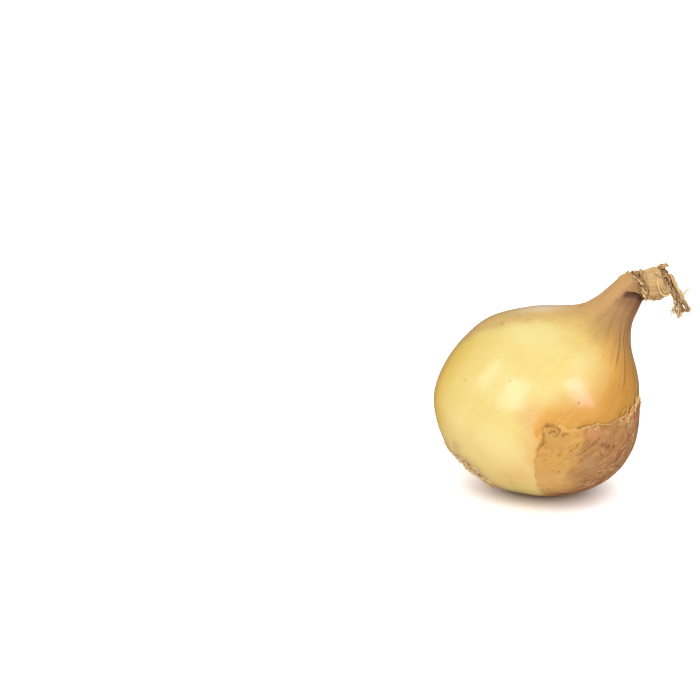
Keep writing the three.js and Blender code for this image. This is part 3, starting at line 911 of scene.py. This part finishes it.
def make_withered_top():
    points, ring, round_ = sheath_rings()
    rows, depth = len(points), len(INSIDE_WALL)
    inside = []
    for inset, back in INSIDE_WALL:
        source = points[rows - 1 - back]
        centre = source.mean(0)
        inside.append(centre + (source - centre) * inset)
    body = np.vstack([*points, *inside])
    faces = tube_faces(rows + depth, SHEATH_COLUMNS, start_cap=False)
    inside_ring = np.linspace(len(SHEATH) - 1, 5, depth)
    ring_all = np.concatenate([ring.ravel(), np.repeat(inside_ring, SHEATH_COLUMNS)])
    round_all = np.concatenate([round_.ravel(), np.tile(round_[0], depth)])
    height = np.full(len(body), NECK_TOP)
    # The skin's streaks run on from the neck, which ends at place 1, at about 2 mm a ring.
    values = skin_values(round_all, height, 1 + ring_all * 2.0 / LINE_LENGTH[-1])
    inner = 0.5 + 0.5 * np.cos(round_all)
    # Painted shade: under the torn lips, along the crease of the fold, in the hollow under it, at the torn
    # front of the rim and deeper inside the mouth.
    _, dark = lip_relief(round_all, ring_all)
    dark = np.maximum(0.85 * dark, 0.8 * bump_at(ring_all, 2.3, 0.5) * inner ** 3)
    dark = np.maximum(dark, 0.9 * under_fold(longitude_of(round_all), ring_all))
    torn_front = bump_at(np.degrees(round_all) - 282, 0, 26) * smoothstep(ring_all, 5.9, 6.3)
    dark = np.maximum(dark, 0.6 * torn_front)
    deep = np.repeat(np.r_[np.zeros(rows), np.linspace(0.5, 1, depth)], SHEATH_COLUMNS)
    values["crease"] = np.clip(np.maximum(dark, deep), 0, 1)
    values["knot"] = 0.75 * bump_at(ring_all, 2.5, 0.55)
    values["dry"] = smoothstep(ring_all - lip_ring(round_all, 1), -0.5, 0.5)
    collar_shade = 0.6 * bump_at(ring_all, 2.5, 0.6) * (0.3 + 0.7 * inner)
    values["shade_side"] = values["shade_side"] * (1 - smoothstep(ring_all, 1.6, 2.2)) + collar_shade
    sheath = add_mesh("folded_dry_sheath", body, faces, skin_look, values)
    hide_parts("withered_top")
    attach(sheath, "root")


def mouth_point(out, across, forward):
    """A place by the sheath's mouth: out of it, towards its lower side, and towards the front."""
    height, shift, front, tilt, _, _ = SHEATH[-1]
    s, c = math.sin(math.radians(tilt)), math.cos(math.radians(tilt))
    return np.array([shift + out * s + across * c, -front - forward, height + out * c - across * s])


# The bundle's way out of the mouth and down, as places out of it and towards its lower side
BUNDLE = [(0.7, -1.0), (1.6, 2.4), (2.5, 5.4), (3.0, 7.8)]
FORKS = [
    [(2.0, 10.4), (1.0, 13.2)],
    [(4.0, 10.6), (4.5, 13.0)],
    [(1.6, 10.0), (0.4, 12.0)],
    [(2.4, 10.6), (1.8, 13.5)],
    [(4.3, 10.2), (5.0, 12.6)],
]
# The curled lip at the lower front of the rim, as places out of the mouth and towards its lower side
CURLED_LIP = [(-1.3, -2.4), (-2.3, -1.2), (-3.0, 0.8), (-3.1, 2.8), (-2.5, 4.8), (-1.2, 5.9), (0.2, 5.3)]
LIP_CENTRE = (-0.9, 2.0)
# Its nested rings: size, how far forward, width
LIP_RINGS = [(1.0, 3.3, 0.7), (0.78, 3.2, 0.6), (0.55, 2.9, 0.5)]
# One long curl that stands off, as places out of the mouth, towards its lower side and towards the front
LONG_CURL = [
    (2.0, 4.6, 0.4), (3.2, 6.8, 0.6), (4.7, 6.8, 0.5), (6.0, 5.5, 0.4), (7.2, 5.5, 0.3), (7.8, 5.9, 0.2),
]
# Ribs of the torn inside, as places out of the mouth and towards its lower side
LIP_STRIPS = [
    [(-2.5, 3.4), (-1.7, 1.6), (-1.1, -0.6)],
    [(-2.3, 4.6), (-1.2, 2.5), (-0.3, 0.2)],
    [(-1.6, 5.3), (-0.7, 3.4), (0.3, 1.4)],
    [(-0.7, 5.5), (0.0, 4.2), (0.7, 2.6)],
    [(-2.6, 2.0), (-2.0, 0.3), (-1.6, -1.3)],
]
# How many loose pieces of each kind there are
BUNDLE_STRIPS = 30
BUNDLE_FIBRES = 80
UPPER_LIP_STRIPS = 26
NOTCH_STRIPS = 8
LOWER_EDGE_FLAPS = 18
COLLAR_FLAPS = 26


def lip_round_off(across):
    """How far the lip's ribs fall back from its middle."""
    return 0.9 * ((across - LIP_CENTRE[1]) / 4) ** 2


def add_curled_lip(heap):
    """Nested curled edges round the front of the mouth, with ribs of the torn inside between them."""
    random = np.random.default_rng(23)
    for number, (size, forward, wide) in enumerate(LIP_RINGS):
        points = []
        for out, across in CURLED_LIP:
            out = LIP_CENTRE[0] + size * (out - LIP_CENTRE[0]) + random.uniform(-0.3, 0.3)
            across = LIP_CENTRE[1] + size * (across - LIP_CENTRE[1]) + random.uniform(-0.4, 0.4)
            nearer = forward - lip_round_off(across) + random.uniform(-0.15, 0.15)
            points.append(mouth_point(out, across, nearer))
        ribbon(heap, points, wide, cup=0.5, crumple=0.14, thickness=0.12, start_twist=0.5 + number, twist=1.1,
               seed=400 + number, taper=0.15, tone=0.35 + 0.15 * number, per_segment=8)
    for number, strip in enumerate(LIP_STRIPS):
        points = [
            mouth_point(out, across, 2.75 - lip_round_off(across) + random.uniform(-0.2, 0.2))
            for out, across in strip
        ]
        ribbon(heap, points, 0.62, cup=0.4, crumple=0.15, thickness=0.12, seed=420 + number, taper=0.3,
               tone=random.uniform(-0.2, 0.25))


def add_flaps(heap):
    """Small torn flaps on the sheath: along its lower edge, and round the collar."""
    random = np.random.default_rng(41)
    rings, _, _ = sheath_rings()

    def on_sheath(ring, degrees, lift):
        row = min(int(ring * SHEATH_STEPS), len(rings) - 1)
        point = rings[row, int(degrees / 360 * SHEATH_COLUMNS) % SHEATH_COLUMNS]
        out = point - rings[row].mean(0)
        return point + lift * out / np.linalg.norm(out)

    for number in range(LOWER_EDGE_FLAPS):
        ring = random.uniform(2.6, 5.4)
        degrees = random.uniform(-30, 30)
        points = [
            on_sheath(ring + along_ring, degrees + random.uniform(-6, 6), 0.05 + random.uniform(0.0, 0.3))
            for along_ring in (0.0, 0.35, 0.75, 1.2)
        ]
        ribbon(heap, points, random.uniform(0.3, 0.7), cup=0.4, crumple=0.2, thickness=0.08, twist=1.5,
               seed=700 + number, tone=random.uniform(0.0, 1.1), across_count=4)
    for number in range(COLLAR_FLAPS):
        ring = random.uniform(2.1, 3.0)
        degrees = random.uniform(150, 360)
        points = [
            on_sheath(ring + 0.16 * along_ring + random.uniform(-0.1, 0.1), degrees + 9 * along_ring,
                      0.15 + random.uniform(0.0, 0.4))
            for along_ring in range(5)
        ]
        ribbon(heap, points, random.uniform(0.4, 0.9), cup=0.6, crumple=0.25, thickness=0.08, twist=1.0,
               seed=730 + number, tone=random.uniform(-0.1, 0.9), across_count=4)


def hanging_line(random, number, side_span, forward_span, spread, jitter, end_jitter, short):
    """Points of a strip or fibre of the bundle: out of the mouth, over its lower lip and into a fork."""
    side = random.uniform(*side_span)
    forward = random.uniform(*forward_span)
    points = [mouth_point(-3.0, -1.0 + 0.6 * side, 0.6 * forward)]
    for step, (out, across) in enumerate(BUNDLE + FORKS[number % len(FORKS)]):
        loose = 1.0 if step < len(BUNDLE) else spread
        place = mouth_point(out + loose * side, across + 0.2 * loose * side, forward * loose)
        points.append(place + random.uniform(-jitter, jitter, 3))
    for size in (end_jitter, 0.8):
        points.append(points[-1] + random.uniform(-size, size, 3))
    return points[: random.integers(4, 6)] if short else points


def make_frayed_end():
    """Torn strips and fibres that hang out of the mouth, and the curled lips round it."""
    random = np.random.default_rng(4)
    heap = Heap()
    for number in range(BUNDLE_STRIPS):
        points = hanging_line(random, number, (-1.8, 1.6), (-1.4, 1.6), 0.6, 0.45, 0.9, number % 4 == 3)
        ribbon(heap, points, random.uniform(0.35, 0.95), cup=random.uniform(-0.5, 0.5),
               twist=random.uniform(-6, 6), start_twist=random.uniform(0, 3), crumple=0.22, thickness=0.1,
               seed=100 + number, taper=0.4, tone=random.uniform(-0.4, 1.0), across_count=5)
    for number in range(BUNDLE_FIBRES):
        points = hanging_line(random, number, (-1.8, 1.8), (-1.6, 1.8), 0.8, 0.6, 1.0, number % 3 == 0)
        strand(heap, points, random.uniform(0.06, 0.14), tone=random.uniform(-0.5, 1.4))
    points = [mouth_point(*place) for place in LONG_CURL]
    ribbon(heap, points, 0.7, cup=0.6, crumple=0.1, thickness=0.1, twist=1.5, seed=440, taper=0.6, tone=0.5)
    add_flaps(heap)
    # The tuft at the upper lip
    for number in range(UPPER_LIP_STRIPS):
        out = random.uniform(-2.0, 0.9)
        forward = random.uniform(-1.6, 2.0)
        points = [
            mouth_point(out - 1.2, -3.2, 0.9 * forward),
            mouth_point(out - 0.3, -4.3, forward),
            mouth_point(out + random.uniform(-0.2, 0.8), random.uniform(-5.4, -4.4), 1.1 * forward),
            mouth_point(out + random.uniform(0.3, 1.7), random.uniform(-5.6, -3.6), forward)
            + random.uniform(-0.3, 0.3, 3),
        ]
        ribbon(heap, points, random.uniform(0.35, 0.9), cup=random.uniform(-0.4, 0.4), crumple=0.2,
               twist=random.uniform(-3, 3), seed=300 + number, tone=random.uniform(0.1, 1.0), across_count=5)
    # Crumpled strips across the notch in the rim
    for number in range(NOTCH_STRIPS):
        start = random.uniform(-3.6, -0.4)
        forward = random.uniform(0.2, 2.2)
        points = [
            mouth_point(-1.8, start, forward),
            mouth_point(0.0, start + random.uniform(-0.5, 0.8), forward + 0.4),
            mouth_point(1.0, start + random.uniform(0.2, 1.8), forward),
            mouth_point(1.2, start + random.uniform(1.2, 3.0), forward - 0.4),
        ]
        ribbon(heap, points, random.uniform(0.4, 0.9), cup=random.uniform(-0.4, 0.4), crumple=0.18,
               twist=random.uniform(-2, 2), seed=350 + number, tone=random.uniform(0.4, 1.2))
    add_curled_lip(heap)
    shreds = heap.make("frayed_end", shred_look)
    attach(shreds, "root")


make_withered_top()
make_frayed_end()

# Torn scrap of brown skin

SCRAP_COLUMNS = 400
SCRAP_ROWS = 96
# Where the torn edge lifts: longitude, width, how far
LIFTED = [
    (-84, 3, 0.3), (-62, 2.5, 0.25), (-52, 3, 0.2), (-40, 3, 0.5), (-27, 4, 0.4), (-16, 3, 0.3),
    (-4, 4, 0.15), (20, 5, 0.4), (38, 6, 0.7),
]
# Reddish spots and brown rings: longitude, height, radius, strength
SCRAP_SPOTS = [
    (-47, 3.4, 1.3, 0.8), (-42.5, 4.4, 1.3, 0.8), (-38.5, 5.6, 1.0, 0.7), (-62, -9, 0.9, 0.35),
    (-57, -8.5, 0.8, 0.3), (-64, -13.5, 0.7, 0.3), (-54, -15, 0.6, 0.3), (-70, -3, 0.6, 0.3),
    (-30, 8, 1.1, 0.5), (-33, -9, 0.8, 0.4),
]
# Dark streaks along the meridians: lower end, upper end, half width, strength
SCRAP_STREAKS = [
    ((-54.6, -5.4), (-51.5, 5.0), 0.4, 1.0), ((-56.4, -4.4), (-54.2, 2.4), 0.3, 0.6),
    ((-59.3, -6.2), (-59.7, -0.9), 0.4, 0.8), ((-61.6, -5.6), (-61.4, -1.8), 0.3, 0.5),
    ((-30.6, 3.5), (-25.2, 8.7), 0.45, 0.9), ((-49.5, -3.0), (-46.0, 5.5), 0.3, 0.6),
    ((-33.5, 1.0), (-30.0, 5.5), 0.35, 0.6), ((-41.0, -1.5), (-38.0, 3.5), 0.3, 0.6),
    ((-72.5, -12.6), (-73.5, -8.4), 0.35, 0.6), ((-28, 0.0), (-27, 12.0), 0.8, 0.5),
    ((-38, -6.0), (-34, 2.0), 0.5, 0.4),
    ((-20, -6.0), (-19, 8.0), 0.7, 0.5), ((4, -6.0), (5, 10.0), 0.7, 0.5), ((24, -6.0), (25, 8.0), 0.6, 0.5),
]
# Greyish and rosy areas: longitude, height, half width in degrees, half height, strength
SCRAP_ASH = [(-42, -5, 9, 4, 0.55), (-34, -10, 7, 3, 0.35)]
SCRAP_ROSY = [(-57, 4.6, 5, 2.8, 0.7), (-28, 17, 7, 4, 0.4)]
# Slivers along its upper edge, and how many of them are crowded where it is most torn
EDGE_SLIVERS = 44
CROWDED_SLIVERS = 24
# Thin brown curls at the scrap's near corner, as longitudes and heights
EDGE_CURLS = [
    [(-80.2, -4.4), (-78.2, -2.9), (-75.6, -2.2), (-73.4, -2.2), (-72.2, -3.2), (-71.8, -4.9), (-73.9, -5.7)],
    [(-80.4, -3.4), (-79.6, -4.2), (-79.9, -5.2)],
    [(-74.6, -3.6), (-75.8, -4.6), (-75.4, -5.8)],
    [(-70.6, -2.7), (-69.6, -2.0), (-68.4, -1.0)],
    [(-77.8, -6.8), (-75.0, -8.2), (-73.8, -10.4)],
    [(-73.2, -9.4), (-72.4, -11.4), (-71.6, -13.0)],
    [(-64.8, 3.8), (-65.8, 2.4), (-67.2, 1.6)],
    [(-44.0, 12.0), (-42.0, 13.0), (-41.4, 14.6)],
]
# Small pale slivers on the scrap
FLAKES = [
    [(-33.4, -4.6), (-31.8, -3.2), (-30.6, -3.6), (-29.4, -2.0)],
    [(-30.5, -10.6), (-28.6, -9.4), (-27.6, -10.0), (-26.2, -8.2)],
    [(-36.4, -8.8), (-34.6, -7.9), (-33.4, -8.8)],
    [(-26.0, -1.6), (-23.6, -0.8), (-22.2, -1.6), (-20.6, 0.4)],
    [(-40.4, 6.4), (-38.6, 7.6), (-37.0, 7.0)],
    [(-31.0, 6.4), (-29.0, 8.6), (-27.8, 8.2)],
    [(-26.6, 11.0), (-25.0, 13.2), (-24.4, 12.6)],
]
# Pale turned-over crests of its upper edge: width, tone, then longitudes and heights
PALE_CRESTS = [
    (0.85, 0.0, [(-65.0, 3.0), (-63.4, 4.6), (-61.6, 5.6), (-59.6, 7.6), (-57.6, 8.6)]),
    (0.4, 0.5, [(-57.0, 8.4), (-53.0, 10.0), (-48.6, 11.6)]),
    (0.8, 0.1, [(-44.5, 12.0), (-43.4, 14.4), (-41.0, 16.0), (-39.8, 18.6)]),
]


def scrap_edges(longitude):
    """The heights of the scrap's torn upper and lower edges."""
    angle = np.radians(longitude)
    top = along(SCRAP_TOP, longitude) + 0.9 * waves(angle, 31, 14, 5) + 0.5 * waves(angle, 32, 70, 3)
    bottom = along(SCRAP_BOTTOM, longitude) + 0.4 * waves(angle, 33, 11, 5) + 0.25 * waves(angle, 34, 60, 3)
    return top, bottom


def scrap_marks(lon, level):
    """The scrap's dark streaks, spots and rings."""
    radius = radius_at(level)
    marks = np.zeros_like(lon)
    for (start, low), (end, high), wide, strength in SCRAP_STREAKS:
        share = np.clip((level - low) / (high - low), 0, 1)
        off = np.radians(lon - start - (end - start) * share) * radius + 0.25 * waves(level, 44, 1.2, 3)
        past = np.maximum(low - level, level - high)
        marks = np.maximum(marks, strength * bump_at(off, 0, wide) * (1 - smoothstep(past, -1.0, 0.6)))
    marks = marks * (0.7 + 0.5 * waves(lon * 0.9 + level * 1.7, 45, 1, 4))
    unevenness = 0.7 * waves(lon * 0.9 + level * 1.3, 38, 1, 4)
    return np.maximum(marks, round_spots(lon, level, SCRAP_SPOTS, 0.3, 1.2, unevenness))


def scrap_lift(lon, level, to_top, to_bottom):
    """How far the scrap stands off the skin: its torn edge lifts here and there, and it is crinkled."""
    lifted = np.zeros_like(lon)
    for centre, wide, out in LIFTED:
        lifted = np.maximum(lifted, out * bump_at(lon, centre, wide))
    lift = lifted * (1 - smoothstep(to_top, 0, 2.4)) + 0.05 * (1 - smoothstep(to_top, 0, 0.8))
    lift = lift + 0.04 * (1 - smoothstep(to_bottom, 0, 0.8)) * (0.5 + 0.5 * np.sin(lon * 0.9))
    crinkle = 0.07 * waves(np.radians(lon) + 0.012 * level, 36, 26, 4)
    crinkle = crinkle * waves(level * 0.25 + lon * 0.02, 37, 1, 3)
    return 0.06 + lift + np.abs(crinkle)


def make_scrap():
    longitude = np.linspace(SCRAP_FROM, SCRAP_TO, SCRAP_COLUMNS)
    top, bottom = scrap_edges(longitude)
    share = np.interp(np.linspace(0, 1, SCRAP_ROWS), [0, 0.15, 0.8, 1], [0, 0.06, 0.86, 1])
    level = bottom[None, :] + (top - bottom)[None, :] * share[:, None]
    # The two ends are ragged too: rows near an end are pulled in sideways.
    ragged_end = 1.3 * waves(share * 6.0, 35, 1.5, 4)
    spread = np.linspace(0, 1, SCRAP_COLUMNS)[None, :]
    near_end = ragged_end[:, None] * (1 - smoothstep(spread, 0.0, 0.12))
    sideways = near_end - ragged_end[::-1, None] * smoothstep(spread, 0.88, 1.0)
    lon = longitude[None, :] + sideways
    to_top = top[None, :] - level
    angle = np.radians(lon)
    place = place_at_height(level)
    base = scrap_lift(lon, level, to_top, level - bottom[None, :])
    outer = dressed_skin(angle, place, base + SCRAP_THICKNESS)
    inner = dressed_skin(angle, place, base)
    pale = 0.7 * (1 - smoothstep(to_top, 0.1, 0.75)) * smoothstep(lon, -66, -52)
    pale = pale * (0.5 + 0.5 * smoothstep(waves(angle, 39, 20, 4), -0.4, 0.5))
    rough_far = 1 - 0.85 * smoothstep(lon, -16, 4)
    wander = 0.5 * waves(lon * 0.25 + level * 0.4, 47, 1, 4)
    values = dict(
        vein=vein_place(angle, place),
        browning=smoothstep(lon + 0.9 * (level + 8), -72, -30),
        rough=smoothstep(lon + 0.35 * level, -40, -24) * rough_far * 0.9,
        marks=scrap_marks(lon, level),
        belly=0.85 * (1 - smoothstep(level, -17, -9)) * band(lon, -58, -46, -40, -10),
        ash=soft_areas(lon, level, SCRAP_ASH, wander),
        rosy=soft_areas(lon, level, SCRAP_ROSY, wander),
        merge=0.9 * (1 - smoothstep(to_top, 0.0, 3.2)) * band(lon, -80, -75, -66, -58),
        pale_edge=np.clip(pale, 0, 1),
    )
    doubled = {key: np.concatenate([v.reshape(-1, *v.shape[2:])] * 2) for key, v in values.items()}
    body = np.vstack([outer.reshape(-1, 3), inner.reshape(-1, 3)])
    faces = sheet_faces(SCRAP_ROWS, SCRAP_COLUMNS)
    scrap = add_mesh("torn_brown_skin", body, faces, scrap_look, doubled)
    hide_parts("outer_skin_scrap")
    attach(scrap, "root")


def on_skin(longitude, height, lift):
    return dressed_skin(math.radians(longitude), float(place_at_height(height)), lift)


def lay_ribbon(heap, line, lift, sway, width, **settings):
    """A ribbon that lies on the skin, through longitudes and heights, every other one lifted by more."""
    points = [on_skin(*place, lift + sway * (number % 2)) for number, place in enumerate(line)]
    ribbon(heap, points, width, **settings)


def make_wisps():
    """Curled slivers along the scrap's torn edge: brown at its near corner, pale along the rest."""
    random = np.random.default_rng(9)
    heap = Heap()
    for number in range(EDGE_SLIVERS):
        crowded = number < CROWDED_SLIVERS
        longitude = random.uniform(-47, -27) if crowded else random.uniform(-64, 44)
        top, _ = scrap_edges(np.array([longitude]))
        level = top[0] - random.uniform(-0.3, 1.2)
        lean = random.uniform(-1, 1)
        length = random.uniform(1.4, 4.4) if crowded else random.uniform(1.0, 2.6)
        loft = random.uniform(0, 0.5)
        reach = random.uniform(0.6, 1.0)
        points = [
            on_skin(longitude, level - 0.8, 0.12),
            on_skin(longitude + lean, level + 0.3 * length, 0.35),
            on_skin(longitude + 2.4 * lean, level + 0.65 * length, 0.4 + loft),
            on_skin(longitude + 4.0 * lean, level + reach * length, 0.3 + random.uniform(0, 0.7)),
        ]
        ribbon(heap, points, random.uniform(0.35, 1.1), cup=random.uniform(-0.5, 0.5), crumple=0.14,
               thickness=0.08, twist=random.uniform(-2.5, 2.5), seed=500 + number, per_segment=5,
               across_count=5, taper=0.6, tone=random.uniform(-0.2, 0.6))
    for number, line in enumerate(EDGE_CURLS):
        lay_ribbon(heap, line, 0.3, 0.24, 0.55, cup=0.6, crumple=0.25, thickness=0.08, twist=2.4,
                   seed=600 + number, per_segment=8, across_count=4, taper=0.5, tone=0.8)
    for number, line in enumerate(FLAKES):
        lay_ribbon(heap, line, 0.28, 0.1, 0.42, cup=0.5, crumple=0.3, thickness=0.08, twist=2.0,
                   seed=620 + number, per_segment=6, across_count=4, taper=0.5, tone=0.45)
    for number, (width, tone, line) in enumerate(PALE_CRESTS):
        lay_ribbon(heap, line, 0.4, 0.0, width, cup=0.5, crumple=0.16, thickness=0.1, twist=1.0,
                   seed=650 + number, per_segment=7, across_count=5, taper=0.3, tone=tone)
    wisps = heap.make("torn_edge_wisps", wisp_look)
    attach(wisps, "root")


make_scrap()
make_wisps()

# Root end

PLATE_RADIUS = 5.2
PLATE_DEPTH = 2.2
PLATE_RINGS = 22
PLATE_COLUMNS = 72
PLATE_SHIFT = OUTLINE[0][2]
PLATE_TOP = OUTLINE[0][0] - 0.55
# How many strands of each kind there are
ROOTS = 340
FRIZZ_ALL_ROUND = 90
FRIZZ_IN_FRONT = 140
CURLS_IN_FRONT = 55
CURLS_BEHIND = 35
DARK_ENDS = 15


def add_plate(heap):
    """The basal plate, knobbly with root scars."""
    angles = TAU * np.arange(PLATE_COLUMNS) / PLATE_COLUMNS
    share = np.linspace(0, 1, PLATE_RINGS)
    radius = np.interp(share, [0, 0.5, 0.75, 0.9, 1], [0.2, 0.72, 0.95, 1, 0.8]) * PLATE_RADIUS
    level = PLATE_TOP - PLATE_DEPTH * np.interp(share, [0, 0.4, 0.7, 0.9, 1], [1.0, 1.02, 0.8, 0.5, 0.1])
    knobs = waves(angles[None, :] * 3, 51, 3, 4) * waves(share[:, None] * 9, 52, 2, 3) * 0.35
    wavy = radius[:, None] * (1 + 0.05 * waves(angles, 53, 5, 3)[None, :])
    plate = np.stack([
        PLATE_SHIFT + wavy * np.cos(angles)[None, :],
        radius[:, None] * np.sin(angles)[None, :],
        level[:, None] + knobs,
    ], -1)
    heap.add(plate.reshape(-1, 3), tube_faces(PLATE_RINGS, PLATE_COLUMNS), 0.85)


def add_root(heap, random):
    """A root that leaves the plate and lies down over the rim of the dish."""
    angle = random.uniform(0, TAU)
    start = random.uniform(0.2, 0.95) ** 0.7
    short = random.random() < 0.35
    reach = random.uniform(0.045, 0.07) if short else random.uniform(0.065, 0.1)
    curl = random.uniform(-0.9, 0.9)
    loft = random.uniform(0.0, 0.9) * (1.0 if short else 0.35)
    points = [np.array([
        PLATE_SHIFT + start * 0.9 * PLATE_RADIUS * math.cos(angle),
        start * 0.9 * PLATE_RADIUS * math.sin(angle),
        PLATE_TOP - PLATE_DEPTH * random.uniform(0.5, 0.95),
    ])]
    for t in (0.35, 0.6, 0.8, 1.0):
        place = 0.02 + (reach - 0.02) * t
        lift = 1.3 * (1 - smoothstep(t, 0.2, 0.75)) + 0.22 + loft * math.sin(math.pi * t)
        wiggle = random.uniform(-0.1, 0.1)
        points.append(dressed_skin(angle + curl * t * t + wiggle, place, lift))
    strand(heap, points, random.uniform(0.06, 0.13), tone=random.uniform(-0.5, 0.75))


def add_frizz(heap, random, in_front):
    """A strand that climbs out of the dish over its rim, and then wanders."""
    angle = math.radians(random.uniform(-120, -56)) if in_front else random.uniform(0, TAU)
    furthest = random.uniform(0.098, 0.15 if in_front else 0.11)
    points = [dressed_skin(angle, reach, 0.3) for reach in (0.05, 0.068)]
    for _ in range(4):
        angle = angle + random.uniform(-0.17, 0.17)
        reach = furthest * random.uniform(0.78, 1.0)
        points.append(dressed_skin(angle, reach, 0.12 + random.uniform(0.0, 0.3)))
    strand(heap, points, random.uniform(0.06, 0.13), taper=0.4, tone=random.uniform(-0.6, 0.35))


def add_rim_curl(heap, random, longitudes):
    """A curl that stands off the rim."""
    angle = math.radians(random.uniform(*longitudes))
    drift = random.uniform(-0.09, 0.09)
    reach = random.uniform(0.085, 0.115)
    points = [
        dressed_skin(angle + drift * step, reach + 0.006 * math.sin(1.3 * step), lift)
        for step, lift in enumerate((0.15, random.uniform(0.4, 1.0), random.uniform(0.6, 1.2), 0.35))
    ]
    strand(heap, points, random.uniform(0.08, 0.15), tone=random.uniform(-0.5, 0.6))


def add_dark_end(heap, random):
    """A short dark end among the frizz."""
    angle = math.radians(random.uniform(-118, -64))
    reach = random.uniform(0.1, 0.135)
    points = [
        dressed_skin(angle + 0.05 * step, reach + random.uniform(-0.004, 0.004), 0.45)
        for step in range(3)
    ]
    strand(heap, points, random.uniform(0.1, 0.15), taper=0.3, tone=1.4)


def make_root_tuft():
    random = np.random.default_rng(17)
    heap = Heap()
    add_plate(heap)
    for _ in range(ROOTS):
        add_root(heap, random)
    for number in range(FRIZZ_ALL_ROUND + FRIZZ_IN_FRONT):
        add_frizz(heap, random, in_front=number >= FRIZZ_ALL_ROUND)
    for number in range(CURLS_IN_FRONT + CURLS_BEHIND):
        add_rim_curl(heap, random, (-122, -66) if number < CURLS_IN_FRONT else (-30, 190))
    for _ in range(DARK_ENDS):
        add_dark_end(heap, random)
    tuft = heap.make("dry_root_tuft", root_look)
    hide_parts("root_tuft")
    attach(tuft, "root")


make_root_tuft()

# Stage

FLOOR_HALF = 9.0
FLOOR_GLOW = 0.34
# The glow starts this far from the rest spot, and is full this far.
GLOW_FROM = 0.010
GLOW_FULL = 0.036
# Painted contact shadow: round the rest spot the floor is darker and warmer and gives no glow; further out it
# glows, though it is no lamp.
FLOOR_SHADED = (0.86, 0.78, 0.72, 1)
FLOOR_WHITE = (0.93, 0.925, 0.92, 1)
# What shows on the skin and gives no other light: azimuth, elevation, sizes, power, colour
WINDOWS = {
    "window_left": (-49.5, 24, (0.54, 0.8), 9.6, (1.0, 0.86, 1.0)),
    "window_right": (36, 28, (0.56, 0.76), 11.5, (1.0, 0.72, 1.0)),
    "strip_left": (-93, 34, (0.22, 0.5), 2.1, (1.0, 0.88, 1.0)),
}
WINDOW_AIM = (-0.003, -0.001, 0.038)
WINDOW_DISTANCE = 1.2
SUN_STRENGTH = 1.5
SUN_SPREAD = 60
SUN_TURN = (40, -10, 0)
SKY_STRENGTH = 1.25
CAMERA_PLACE = (-0.19534, -0.54325, 0.21409)
CAMERA_PITCH = -15.730
CAMERA_TURN = -12.700
CAMERA_LENS = 85
CAMERA_SENSOR = 36


def make_floor():
    mesh = bpy.data.meshes.new("floor")
    s = FLOOR_HALF
    mesh.from_pydata([(-s, -s, 0), (s, -s, 0), (s, s, 0), (-s, s, 0)], [], [(0, 1, 2, 3)])
    floor = new_object("floor", mesh)
    g = Graph("white_floor")
    away = g.length(g.node("ShaderNodeTexCoord", {}, output=3))
    mesh.materials.append(g.finish(
        Base_Color=g.mix(g.step(away, GLOW_FROM, GLOW_FULL), FLOOR_SHADED, FLOOR_WHITE),
        Roughness=0.5,
        Specular_IOR_Level=0.2,
        Emission_Color=(1, 0.995, 0.99, 1),
        Emission_Strength=g.step(away, GLOW_FROM, GLOW_FULL, 0.0, FLOOR_GLOW),
    ))
    floor.visible_glossy = False


def make_window(name, azimuth, elevation, sizes, power, colour):
    data = bpy.data.lights.new(name, "AREA")
    data.shape = "RECTANGLE"
    data.size, data.size_y = sizes
    data.energy = power
    data.color = colour
    light = new_object(name, data)
    a, e = math.radians(azimuth), math.radians(elevation)
    back = np.array([math.sin(a) * math.cos(e), -math.cos(a) * math.cos(e), math.sin(e)])
    light.visible_diffuse = False
    light.location = np.array(WINDOW_AIM) + WINDOW_DISTANCE * back
    light.rotation_euler = (math.pi / 2 - e, 0, a)


def make_lights():
    data = bpy.data.lights.new("soft_top", "SUN")
    data.energy = SUN_STRENGTH
    data.angle = math.radians(SUN_SPREAD)
    sun = new_object("soft_top", data)
    sun.rotation_euler = [math.radians(degrees) for degrees in SUN_TURN]
    sun.visible_glossy = False
    for name, row in WINDOWS.items():
        make_window(name, *row)

    world = bpy.data.worlds.new("studio")
    world.use_nodes = True
    background = world.node_tree.nodes["Background"]
    background.inputs["Color"].default_value = (1, 1, 1, 1)
    background.inputs["Strength"].default_value = SKY_STRENGTH
    world.cycles_visibility.glossy = False
    bpy.context.scene.world = world


def make_camera():
    data = bpy.data.cameras.new("camera")
    data.lens = CAMERA_LENS
    data.sensor_width = CAMERA_SENSOR
    data.clip_end = 100
    camera = new_object("camera", data)
    camera.location = CAMERA_PLACE
    camera.rotation_euler = (math.radians(90 + CAMERA_PITCH), 0, math.radians(CAMERA_TURN))
    bpy.context.scene.camera = camera


make_floor()
make_lights()
make_camera()
bpy.context.scene.view_settings.view_transform = "Standard"
